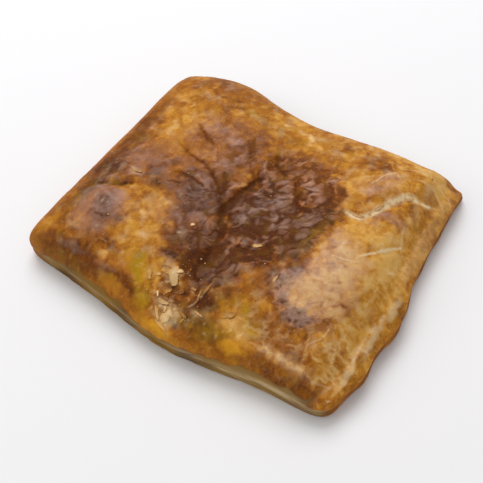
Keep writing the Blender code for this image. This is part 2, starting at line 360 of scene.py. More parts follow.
# The sides' larger steps: share of the lip's height and inset of each, then a slow wave round the slice
LEAVES = [(0.0, BASE_INSET), (0.12, 0.4), (0.30, 0.1), (0.55, -0.3), (0.80, 0.1), (1.0, 0.0)]
LEAF_WAVE, LEAF_WAVES, LEAF_LAG = 0.4, 23, 9.0
LEAF_THICKNESS, LEAF_STEP, LEAF_PROUD = 0.85, 0.34, 0.15
# How far the drawn-out corner's thinning reaches, and its share of the height
TIP_REACH, TIP_THIN = 6.0, 0.5
FOLD_X, PRESSED_X = -60.0, 62.0

side_loop = rim(lip_plan) - (shift_x, shift_y)
loop_run = np.cumsum(np.linalg.norm(side_loop - np.roll(side_loop, 1, axis=0), axis=1))
run = loop_run[None, :] * np.ones((SIDE_ROWS + 1, 1))
lip_share = 1 - TIP_THIN * rim(tip_share(lid_u, lid_v, TIP_REACH))
side_height = np.linspace(SIDE_TOP, SIDE_LOW, SIDE_ROWS + 1)[:, None] * lip_share


def stand_in(turn, share):
    """How far the side stands in from the lip at a share of its height: the steps' insets and their wave."""
    inset = np.interp(share, *np.transpose(LEAVES))
    return inset + LEAF_WAVE * share * (1 - share) * 4 * np.sin(LEAF_WAVES * turn + LEAF_LAG * share)


def leaf_pattern(run, height):
    """Leaves over a side, by length run round it and height: each leaf's number, and 0 to 1 across it.
    The number is the height in leaf thicknesses plus slow noise along the run, so leaves rise and fall."""
    level = height / LEAF_THICKNESS + 1.1 * noise(run, height * 0.6, 17.0, 31)
    level += 0.5 * noise(run, height, 5.0, 33)
    return np.floor(level), level - np.floor(level)


def leaf_hash(number, run, seed):
    """A value for each leaf that drifts slowly along the run."""
    return noise(run + 37.0 * number, 13.0 * number, 9.0, seed)


leaf, across = leaf_pattern(run, side_height)
side_turn = np.arctan2(side_loop[:, 1] / DEPTH, side_loop[:, 0] / LENGTH)


def cut_share(x):
    """1 along the cut sides, and 0 round the fold at the left and the pressed edge at the right."""
    return ease(x, FOLD_X - 6, FOLD_X + 3) * (1 - ease(x, PRESSED_X, PRESSED_X + 5))


def flour_share(x):
    """How pale the leaves stay: most towards the right, where the parcel had least filling behind them."""
    return 0.35 + 0.65 * ease(x, 0, 28)


def end_fans(number, top):
    """Fans that close a band of rings, given the top middle point's number. The lower one's is the next."""
    return np.concatenate([fan(number[0], top)[:, [1, 0, 2]], fan(number[-1], top + 1)])


cut = cut_share(side_loop[:, 0])[None, :]
proud = LEAF_STEP * (0.6 * np.sin(np.pi * across) ** 0.5 + 0.7 * leaf_hash(leaf, run, 35))
proud *= 0.25 + 0.75 * cut
side_rings = []
for row in range(SIDE_ROWS + 1):
    inset = stand_in(side_turn, side_height[row] / LIP_HEIGHT / lip_share) - proud[row] + LEAF_PROUD
    side_rings.append(drawn_in(side_loop, inset, side_height[row]))
side_points = np.concatenate([*side_rings, [[0, 0, LIP_HEIGHT - MIDDLE_SUNK]], [[0, 0, SIDE_LOW]]])
side_number = np.arange(len(side_loop) * (SIDE_ROWS + 1)).reshape(SIDE_ROWS + 1, -1)
side_fans = end_fans(side_number, side_number.size)
side_data = make_mesh("side_leaves", side_points, band_quads(side_number), side_fans)


def leaf_marks(run, height, across, leaf):
    """Browning, pale and oil marks of leaves: dark in the gaps, pale on some, darker at the foot as painted
    shade.
    """
    gap = 1 - np.sin(np.pi * np.clip(across, 0, 1)) ** 0.6
    bake = 0.90 + 0.20 * leaf_hash(leaf, run, 41) + 0.14 * gap + 0.14 * layers(run, 2 * height, 12.0, 43)
    # Painted shade: darker towards the foot, near the floor
    bake += 0.10 * (1 - ease(height, 0.5, 7.0))
    floury = ease(layers(run, 2 * height, 14.0, 47) + 0.5 * leaf_hash(leaf, run, 42), -0.5, 0.5)
    pale = 0.12 + 0.55 * floury * (1 - 0.7 * gap) * ease(height, 4.0, 7.0) * (1 - ease(height, 8.0, 10.5))
    oil = 0.42 * ease(layers(run, height, 20.0, 49), -0.6, 0.3)
    return bake, pale, oil


side_bake, side_pale, side_oil = leaf_marks(run, side_height, across, leaf)
side_bake += (0.62 + 0.20 * layers(run, 2 * side_height, 7.0, 45, 4) - side_bake) * (1 - cut)
side_pale *= cut * flour_share(side_loop[:, 0])
paint(side_data, bake=side_bake, pale=side_pale, oil=side_oil * cut)
side_skin = dough_material("leafy_dough", ("bake", "pale", "oil"), 0.12, 0.6, 0.0, 0.3)
seat("side_leaves", side_data, side_skin)

# The lid
# The upper sheet, brushed with egg before baking. Steam lifted it into swellings, then the middle sank and
# its skin wrinkled. The glaze browned darkest there, and split into pale cracks near the pressed edge.
SHOULDER_RISE = 8.5
SWELL_RUN, SWELL_RISE, SWELL_POWER = 22.0, 8.1, 1.6
CORNER_BLEND = 3
RIM_NEAR, RIM_FAR, RIM_DROP = 3.5, 15.0, 5.5
GROOVE_FROM_EDGE, GROOVE_HALF_WIDTH, GROOVE_DEPTH = 6.0, 1.8, 0.8
# Swellings, and hollows as minus ones: middle, half widths and height
SWELLINGS = [
    (42.4, -6, 25, 28, 5), (-49.6, -28, 17, 20, 3.5), (-39.6, 42, 21, 14, 4), (38.4, 40, 23, 14, 3.5),
    (6.4, 4, 23, 25, -4.5), (0.4, -45, 14, 14, -4.5), (-50, -11, 8, 6, 1.2), (-45, -31, 10, 8, 1.2),
    (46, -18, 11, 10, 1), (44, -34, 6, 4, 1.1), (50, 8, 7, 9, 0.9), (-16, 34, 9, 7, 1), (12, 42, 9, 6, 0.9),
    (1, -9, 3, 5, 0.8), (24, -45, 7, 6, -0.8), (-6, -39.5, 2.8, 2.2, 1), (-7, -49, 2, 2, 0.8),
    (3, -54, 4, 3, 1.2), (0, -44.5, 4, 3, -1.2),
]
# The brow round the sunken skin: a step along a line, its rise, run, and how far it fades
BROW = [(31, 36), (36, 14), (35, -4), (32, -13), (22, -22), (10, -34)]
BROW_RISE, BROW_RUN, BROW_FADE = 1.6, 4.0, 18.0
# Broad creases: half width, depth, then the points they run through
CREASES = [
    (2.6, 1.2, [(1, 24), (-1, 11), (-4, 3), (-4, -8), (-1, -18), (2, -30), (3, -40)]),
    (2.4, 1.2, [(12, 16), (15, 8), (22, 2), (32, -2)]),
    (2.4, 1.1, [(0, -19), (10, -21), (20, -17), (29, -10)]),
    (1.7, 0.5, [(-37, 20), (-32, 17), (-26, 15), (-21, 8)]),
    (1.7, 0.6, [(-38, 10), (-32, 6), (-20, 4), (-11, -1), (-4, -9)]),
    (1.7, 0.5, [(-30, -4), (-18, -6), (-10, -12)]), (2.2, 1.4, [(-58, -24), (-50, -21), (-43, -18)]),
    (1.6, 1.1, [(38, 12), (43, 13), (47, 22), (52, 31), (61, 40)]), (1.3, 0.7, [(52, 1), (56, 6), (60, 16)]),
    (2.4, 1.2, [(-21, -42), (-15, -50), (-9, -55)]),
]


def trace(x, y, points):
    """Distance from each place to a line of points, the side of it, plus to the right of its run, and how
    far along the line the nearest place is, from 0 to 1."""
    nearest, side, share_along = np.full(x.shape, np.inf), np.ones(x.shape), np.zeros(x.shape)
    for number, ((x0, y0), (x1, y1)) in enumerate(zip(points[:-1], points[1:])):
        run_x, run_y = x1 - x0, y1 - y0
        share = np.clip(((x - x0) * run_x + (y - y0) * run_y) / (run_x ** 2 + run_y ** 2), 0, 1)
        off_x, off_y = x - x0 - share * run_x, y - y0 - share * run_y
        distance = np.hypot(off_x, off_y)
        closer = distance < nearest
        side = np.where(closer, np.sign(off_x * run_y - off_y * run_x), side)
        share_along = np.where(closer, (number + share) / (len(points) - 1), share_along)
        nearest = np.minimum(nearest, distance)
    return nearest, side, share_along


def lid_form(u, v):
    """The lid's plan and height: lip, quarter round and swell, less the pressed rim and its groove, plus
    swellings, brow and creases that fade out at the edge."""
    x, y = outline(u, v)
    from_x, from_y = LENGTH / 2 * (1 - np.abs(u)), DEPTH / 2 * (1 - np.abs(v))
    nearer = np.maximum(from_x, TINY) ** -CORNER_BLEND + np.maximum(from_y, TINY) ** -CORNER_BLEND
    inward = nearer ** (-1 / CORNER_BLEND)
    quarter = np.sqrt(1 - (1 - np.clip(inward / SHOULDER_RUN, 0, 1)) ** 2)
    swell = 1 - np.exp(-((inward / SWELL_RUN) ** SWELL_POWER))
    from_right = LENGTH / 2 * (1 - u)
    rim_drop = RIM_DROP * (1 - ease(from_right, RIM_NEAR, RIM_FAR)) * quarter
    groove = GROOVE_DEPTH * bell(from_right, GROOVE_FROM_EDGE, GROOVE_HALF_WIDTH)
    inside = ease(inward, 0, SHOULDER_RUN / 2)
    relief = sum(
        tall * bell(x, at_x, wide_x) * bell(y, at_y, wide_y) for at_x, at_y, wide_x, wide_y, tall in SWELLINGS
    )
    distance, side, share = trace(x, y, BROW)
    step = ease(distance * side, -BROW_RUN / 2, BROW_RUN / 2) * np.sin(np.pi * share)
    relief += BROW_RISE * step * bell(distance, 0, BROW_FADE)
    for half_width, depth, points in CREASES:
        relief -= depth * bell(trace(x, y, points)[0], 0, half_width)
    height = LIP_HEIGHT + SHOULDER_RISE * quarter + SWELL_RISE * swell - rim_drop + (relief - groove) * inside
    height *= 1 - TIP_THIN * tip_share(u, v, TIP_REACH)
    return x - shift_x, y - shift_y, height, from_right, inside


def depth_in(x, y, points):
    """How deep each place lies inside a closed line of points, minus outside: crossings tell the inside."""
    closed = [*points, points[0]]
    inside = np.zeros(x.shape, bool)
    for (x0, y0), (x1, y1) in zip(closed[:-1], closed[1:]):
        spans = (y0 > y) != (y1 > y)
        inside ^= spans & (x < (x1 - x0) * (y - y0) / (y1 - y0 if y1 != y0 else TINY) + x0)
    distance = trace(x, y, closed)[0]
    return np.where(inside, distance, -distance)


def region(x, y, points, soft):
    """1 inside a closed line of points and 0 outside, eased over a soft border."""
    return ease(depth_in(x, y, points), -soft / 2, soft / 2)


def turned(x, y, degrees, stretch):
    """Places measured along a direction and across it, the first shortened so a pattern runs long there."""
    cos, sin = np.cos(np.radians(degrees)), np.sin(np.radians(degrees))
    return (x * cos + y * sin) / stretch, y * cos - x * sin


def patches(x, y, spots):
    """Sum of soft-edged ellipses: middle, half widths along and across, turn in degrees, strength."""
    total = np.zeros(x.shape)
    for at_x, at_y, long, short, degrees, strength in spots:
        along, across = turned(x - at_x, y - at_y, degrees, long / short)
        total += strength * (1 - ease(np.hypot(along, across) / short, 0.45, 1.4))
    return total


def same_size(long, short, spots):
    """Rows for patches() of one size, not turned, from each one's middle and strength."""
    return [(at_x, at_y, long, short, 0, strength) for at_x, at_y, strength in spots]


def strokes(x, y, lines):
    """Sum of soft lines, each thinning to its ends: half width, strength, then the points it runs through."""
    total = np.zeros(x.shape)
    for half_width, strength, points in lines:
        distance, _, share = trace(x, y, points)
        thin = 0.15 + 0.85 * np.clip(np.sin(np.pi * (0.03 + 0.94 * share)), 0, 1) ** 0.7
        total += strength * bell(distance, 0, half_width * thin)
    return total


def cells(x, y, size, seed):
    """Cracked islands: each place's distances to the nearest and next nearest of jittered points, one to
    each square of this size, as their difference in sizes and the nearest point's own random value."""
    rng = np.random.default_rng(seed)
    jitter, value = rng.uniform(0.1, 0.9, (LATTICE, LATTICE, 2)), rng.uniform(-1, 1, (LATTICE, LATTICE))
    i, j = np.floor(x / size).astype(int), np.floor(y / size).astype(int)
    first, second, own = np.full(x.shape, 9.0), np.full(x.shape, 9.0), np.zeros(x.shape)
    for right in (-1, 0, 1):
        for up in (-1, 0, 1):
            spot = jitter[(i + right) % LATTICE, (j + up) % LATTICE]
            far = np.hypot(i + right + spot[..., 0] - x / size, j + up + spot[..., 1] - y / size)
            second = np.minimum(second, np.maximum(first, far))
            own = np.where(far < first, value[(i + right) % LATTICE, (j + up) % LATTICE], own)
            first = np.minimum(first, far)
    return second - first, own


def facets(x, y, size, seed):
    """Skin puckered into small flat faces: each island's own value, from -1 to 1, fading at its border."""
    border, own = cells(x, y, size, seed)
    return own * ease(border, 0, 0.35)


def veins(x, y, size, width, seed):
    """Thin winding lines: 1 where a noise of this size crosses 0, and 0 beyond a width of its values."""
    return 1 - ease(np.abs(noise(x, y, size, seed)), 0, width)


def pleats(x, y, size, seed):
    """Rounded pleats between narrow valleys, from 0 to about 1: the noise's distance from 0, blunted."""
    return 1.4 * np.sqrt(noise(x, y, size, seed) ** 2 + 0.003)


x, y, height, from_right, inside = lid_form(lid_u, lid_v)

# Places pushed about by noise, so that what is drawn at them has torn, uneven borders
ragged_x = x + 2.6 * layers(x, y, 7.0, 51) + 1.2 * layers(x, y, 2.2, 53)
ragged_y = y + 2.6 * layers(x, y, 7.0, 55) + 1.2 * layers(x, y, 2.2, 57)
wavy_x = x + 1.1 * layers(x, y, 3.2, 59)
wavy_y = y + 1.1 * layers(x, y, 3.2, 61)
warp_x = x + 2.6 * noise(x, y, 9.0, 63) + 1.3 * noise(x, y, 3.8, 65)
warp_y = y + 2.6 * noise(x, y, 9.0, 67) + 1.3 * noise(x, y, 3.8, 69)
swept_x, swept_y = turned(warp_x, warp_y, 52.0, 1.9)

# Regions of the lid, each a closed line of points: its skins, its crackled corner, and its glossy swellings
SUNKEN_SKIN = [
    (-5, 24), (3, 30), (14, 31), (26, 28), (33, 20), (36, 7), (34, -6), (31, -14), (22, -22), (15, -28),
    (10, -36), (3, -41), (-7, -37), (-9, -26), (-7, -14), (-6, 2), (-7, 12),
]
BROWN_SKIN = [
    (-7, 28), (-4, 10), (-5, -10), (-6, -36), (-14, -35), (-21, -27), (-22, -14), (-28, -3), (-24, 8),
    (-18, 18), (-14, 26),
]
LEFT_SKIN = [
    (-38, 26), (-30, 31), (-8, 32), (-6, 5), (-12, -10), (-22, -15), (-36, -9), (-48, -13), (-56, -6),
    (-55, 3), (-44, 8),
]
CRACKLED = [
    (30, -37), (42, -41), (54, -34), (60, -20), (66, -22), (67, -46), (60, -54), (30, -54), (20, -48),
]
RIGHT_SWELLING = [
    (39, 3), (46, 1), (54, -3), (56, -14), (56, -22), (51, -31), (47, -36), (42, -38), (37, -35), (31, -31),
    (27, -24), (34, -18), (37.5, -12), (38, -6),
]
LEFT_SWELLING = [
    (-57, -24), (-50, -22), (-42, -20), (-36, -26), (-36, -34), (-40, -42), (-50, -43), (-56, -36),
]
SHOULDER_FILM = [
    (29.5, 26.6), (37, 33), (42, 36), (45, 41.5), (48.3, 37), (44, 28.5), (37.6, 23), (32.6, 23.4),
]
ragged_by = 3.5 * layers(x, y, 4.0, 141, 4)
sunken = ease(depth_in(ragged_x, ragged_y, SUNKEN_SKIN) + 0.6 * ragged_by, -3, 3)
brown_skin = ease(depth_in(ragged_x, ragged_y, BROWN_SKIN) + ragged_by, -5, 4) * (1 - sunken)
left_skin = ease(depth_in(ragged_x, ragged_y, LEFT_SKIN) + ragged_by, -6, 5) * (1 - sunken)
shoulder_depth = depth_in(wavy_x, wavy_y, SHOULDER_FILM)
shoulder_film, shoulder_rim = ease(shoulder_depth, -0.4, 0.4), bell(shoulder_depth, 0, 0.5)
crackled = region(ragged_x, ragged_y, CRACKLED, 9.0) * ease(y, -51, -47.5)
left_swelling = ease(depth_in(ragged_x, ragged_y, LEFT_SWELLING) + ragged_by, -3, 4)

# The right swelling's film ends in a crisp scalloped border low down, with a painted highlight along it and
# a painted shadow just outside it, and fades out above
scallop_x = x + 2.2 * np.abs(noise(x, y, 4.5, 85)) + 0.8 * noise(x, y, 2.0, 86)
film_depth = depth_in(scallop_x, wavy_y, RIGHT_SWELLING)
low_border = ease(-y, 14, 24)
ragged_depth = film_depth + ragged_by * (1 - 0.7 * low_border)
right_swelling = ease(ragged_depth, 3.0 * low_border - 3.6, 5.0 - 4.2 * low_border)
film_clump = ease(layers(x, y, 3.4, 131), -0.2, 0.3)
film_border = right_swelling * (1 - ease(film_depth + ragged_by, 2.5, 8.5)) * low_border
film_border *= 0.35 + 0.65 * film_clump
film_edge = bell(film_depth, 0.3, 0.45) * low_border
film_shadow = ease(film_depth, -2.8, -0.4) * (1 - right_swelling) * low_border
flaky_side = ease(ragged_x, 26, 40) * (1 - right_swelling)

# Creases, where the skin folded in, painted darker along them as shade: half width, strength, then the
# points they run through. A shallow valley runs along each, wider by a factor, and painted a little darker.
VALLEY_WIDTH = 2.6
SKIN_CREASES = [
    (0.55, 0.9, [(-38.5, 22.7), (-35, 20.5), (-32, 18.5), (-29, 17), (-26.5, 16.7)]),
    (0.55, 0.7, [(-40, 10.5), (-36, 9), (-33, 7.2), (-28, 6.8), (-24, 6), (-20, 4.5), (-16, 2), (-12, -1)]),
    (0.6, 0.6, [(-32, -3.6), (-29, -2.8), (-25, -2.5), (-21, -2.8), (-17, -4)]),
    (0.5, 0.5, [(-30.5, -8.8), (-28.5, -8), (-26.5, -6.8)]),
    (0.5, 0.5, [(-37.5, -11.7), (-35, -12.3), (-33, -12)]),
    (0.9, 0.9, [(-56, -23), (-51, -21.3), (-46, -19.3), (-42.5, -17)]),
    (0.5, 0.7, [(-46, -36), (-44, -35.6), (-42.5, -35.8)]),
    (0.6, 0.5, [(-14, 28), (-12.5, 24), (-11, 20), (-8, 15)]),
    (0.9, 0.7, [(-15, 6), (-12, 3), (-10.5, -1), (-9.5, -4)]),
    (1.1, 1, [(-2, 24.5), (0.5, 22), (3, 20), (6.5, 18.3)]),
    (1.1, 1, [
        (-1, 14), (-3, 11), (-4, 7), (-5, 3), (-5.5, -3), (-6, -9), (-4, -13), (-1, -16), (0, -20), (1, -30),
    ]),
    (0.9, 1, [(11, 17.5), (13, 14), (15, 11), (18, 8), (21, 6), (25, 5.8)]),
    (0.8, 0.8, [(24.9, 7.9), (28.4, 12.1), (27.5, 18), (23.6, 22.6)]),
    (1.1, 0.3, [(23, 20), (26, 16), (28, 13), (31, 9), (33, 4), (33, -4)]),
    (0.8, 0.6, [(0, 15.5), (2.5, 13.5), (5, 11.5)]), (0.7, 0.7, [(3, 8), (5, 6.6), (7, 8.6)]),
    (1, 0.8, [(5, -10), (10, -9.3), (15, -9.8), (21, -9)]), (0.8, 0.5, [(14, 1), (15.5, -2), (16.5, -6)]),
    (0.9, 0.7, [(2, -16), (6, -15), (10, -13.8), (13, -14)]),
    (0.9, 0.6, [(8, -19.5), (13, -20), (18, -18.6), (22, -16)]), (0.9, 0.5, [(24, -4), (25, -8), (24, -12)]),
    (0.7, 0.5, [(8, -25), (12, -25.4), (16, -24), (21, -21.8)]),
    (0.5, 0.6, [(55.5, -21), (52.5, -23), (49.5, -26)]), (0.5, 0.5, [(59.5, -6), (58, -12), (56.8, -18)]),
    (0.5, 0.6, [(7.6, -50), (7.4, -53), (8.4, -55)]), (0.5, 0.5, [(10.4, -49.5), (10.6, -53), (11.4, -55)]),
]
# Folds of the skin that stand up and catch the light, painted lighter and with a painted sheen along them
LIT_FOLDS = [
    (0.7, 0.8, [(-4.5, 20.5), (-3, 18), (-2, 15.5)]),
    (0.6, 0.9, [(-4.8, 7.5), (-6.5, 5), (-8, 2.8), (-9.5, 1)]),
    (0.6, 0.7, [(7.8, 6.8), (9.3, 3.5), (11, 0.5), (12.6, -3)]),
    (0.8, 0.8, [(10.5, 2.2), (12.8, 0.2), (14, -3), (15.5, -6.5)]),
    (0.6, 0.8, [(-4.2, -8.5), (-1.5, -11.5), (1.5, -14.6), (3.6, -12), (4.4, -9)]),
    (0.5, 0.6, [(4.4, -9), (3.4, -6.8), (0.6, -7.2)]), (0.6, 0.7, [(4, -19), (8, -18.6), (12, -17.4)]),
    (0.6, 0.7, [(5, -20), (6, -22.5), (7, -25)]),
    (0.6, 0.8, [(15, -25.3), (18, -23.5), (21, -21.6), (23.5, -20.8)]),
    (0.7, 0.7, [(14, 15.6), (16.5, 14.8), (19, 13.2), (22, 11.5)]),
    (0.6, 0.5, [(20, 3.4), (23, 2.6), (26, 3.2)]), (0.6, 0.6, [(16, 10.4), (19, 8.4), (22, 7.4)]),
    (0.5, 0.6, [(-25, 15), (-23.5, 12.5), (-21.5, 9.5)]),
    (0.6, 0.6, [(8.6, -34), (8, -38), (6.2, -44.5), (4.6, -40.5)]),
    (0.6, 0.5, [(10, -38), (14, -35), (17, -33)]), (0.5, 0.6, [(24.5, 24.5), (26.5, 22), (28, 19)]),
    (0.6, 0.6, [(-44, -14), (-47, -16.4), (-51, -18.2), (-55, -20)]),
    (0.6, 0.5, [(2, 4.5), (-1, 5.6), (-2.6, 3)]),
    (0.5, 0.5, [(56.6, -3), (57, -9), (56, -16), (54.6, -19.6)]),
    (0.5, 0.5, [(50, -24.4), (53, -22.4), (56, -20.4)]),
    (0.5, 0.5, [(54, -29.6), (57.5, -28), (59.3, -25), (58, -22)]),
]

# What the skin's surface is made up of: pleats, crackled islands and their net, crumbly chips at the torn
# spot, creases with wider valleys along them, leathery wrinkles, and the lumps of the film's border
folds = 0.7 * pleats(swept_x, swept_y, 6.5, 175) + 0.5 * pleats(swept_x, swept_y, 3.2, 177) - 0.5
folds += 0.7 * pleats(warp_x, warp_y, 2.3, 75)
crazed_x, crazed_y = warp_x + 1.2 * noise(x, y, 1.7, 87), warp_y + 1.2 * noise(x, y, 1.7, 89)
island, island_value = cells(crazed_x, crazed_y, 7.2, 77)
net = (1 - ease(island, 0.03, 0.30)) * ease(noise(x, y, 6.0, 83), -0.6, 0.1)
skin = layers(warp_x, warp_y, 8.0, 81, 4)
chips = facets(wavy_x, wavy_y, 1.7, 163)
crumbly = patches(x, y, [(-1, -49, 10, 8, 0, 1.0), (-4, -42, 6, 5, 0, 0.7)]) * chips
crease = strokes(wavy_x, wavy_y, SKIN_CREASES)
valley = strokes(wavy_x, wavy_y, [(VALLEY_WIDTH * wide, deep, points) for wide, deep, points in SKIN_CREASES])
lit_fold = strokes(wavy_x, wavy_y, LIT_FOLDS)
bent_x, bent_y = swept_x + 0.7 * noise(x, y, 2.4, 155), swept_y + 0.7 * noise(x, y, 2.4, 157)
wrinkle, wrinkle_value = cells(bent_x, bent_y, 3.8, 159)
wrinkle_value = wrinkle_value * ease(wrinkle, 0, 0.45)
puckered = (1 - ease(wrinkle, 0.02, 0.26)) * ease(noise(x, y, 7.0, 161), -0.6, 0.3)
leathery = sunken + 0.4 * left_skin + 0.25 * brown_skin
blob, blob_value = cells(wavy_x, wavy_y, 2.3, 133)
lumps, seam = blob_value * ease(blob, 0, 0.35), 1 - ease(blob, 0.04, 0.30)
grit = layers(x, y, 1.4, 79, 2)

# The relief that these give the skin, in millimetres
relief = (0.18 * sunken + 0.09 * brown_skin + 0.04) * folds + 0.5 * skin * (1 - 0.6 * sunken)
relief += crackled * (0.16 * island_value - 0.16 * net)
relief += 0.22 * lit_fold + 0.16 * right_swelling * low_border
relief += 0.06 * grit - 0.22 * crease - 0.09 * valley + (0.12 * wrinkle_value - 0.08 * puckered) * leathery
relief += 0.10 * film_border * (lumps - seam) + 0.14 * crumbly

# Cracks of the lid, where its pale inner leaves show: half width, strength, then the points they run through
CRACKS = [
    (1.1, 1, [
        (36.5, 12), (40.4, 12.4), (42.4, 14.1), (44.4, 17.2), (46.1, 21.9), (47.8, 26), (50, 30), (52.4, 33),
        (55.5, 34), (58.6, 35.8), (61, 39.5),
    ]),
    (0.42, 1, [(49, -4), (51.1, -0.6), (53.1, 2.6), (55.1, 5.9), (57.1, 9.9), (59.1, 14.1)]),
    (0.6, 0.3, [(59.4, 12.6), (58.4, 15), (57, 18), (56.4, 21)]), (0.35, 0.5, [(60, 0), (61, 2), (62, 4)]),
    (0.6, 0.22, [(32, -48.4), (37, -49.2), (42, -48.2), (48, -49.4), (52, -48), (57, -48.4), (62, -46.4)]),
    (0.45, 0.35, [(44, 42.5), (48.6, 45.9), (53.6, 47.4), (59, 48), (64, 47), (67.4, 44)]),
    (0.4, 0.3, [(50, 41), (56, 43.5), (61, 43.6), (65, 41)]), (0.35, 0.6, [(8, -37), (7, -41), (6, -45)]),
    (0.3, 0.5, [(38, 29), (40, 35), (43, 39), (46, 38)]), (0.35, 0.4, [(42, -8), (46, -7.5), (50, -5)]),
    (0.3, 0.3, [(59, -4), (60, -12), (59, -18)]), (0.25, 0.3, [(54, -30), (53, -36), (50, -40), (51, -45)]),
    (0.25, 0.3, [(59, -28), (58, -34), (60, -41)]),
]
CRACK_LIP, CRACK_RISE = 0.16, 0.10
torn = ease(layers(x, y, 2.2, 103, 3), -0.7, 0.0) * np.clip(0.85 + 0.6 * layers(x, y, 1.0, 123, 2), 0, 1.1)
crack = np.clip(1.15 * strokes(x + 0.4 * (wavy_x - x), y + 0.4 * (wavy_y - y), CRACKS) * torn, 0, 1)
relief += CRACK_LIP * bell(crack, 0.4, 0.25) * (crack > 0.05) + CRACK_RISE * crack

# How hollow each place is, -1 to 1: how far it lies below the relief evened out over its neighbours. It
# paints shade into hollows and a lighter tone onto crests, and keeps the painted sheen off hollows.
HOLLOW_DEPTH = 0.16
soft = relief
for axis, step in [(0, 1), (1, 1), (0, 2), (1, 2), (0, 3), (1, 3)]:
    soft = (soft + np.roll(soft, step, axis) + np.roll(soft, -step, axis)) / 3
hollow = np.clip((soft - relief) / HOLLOW_DEPTH, -1, 1)
height = height + relief * inside
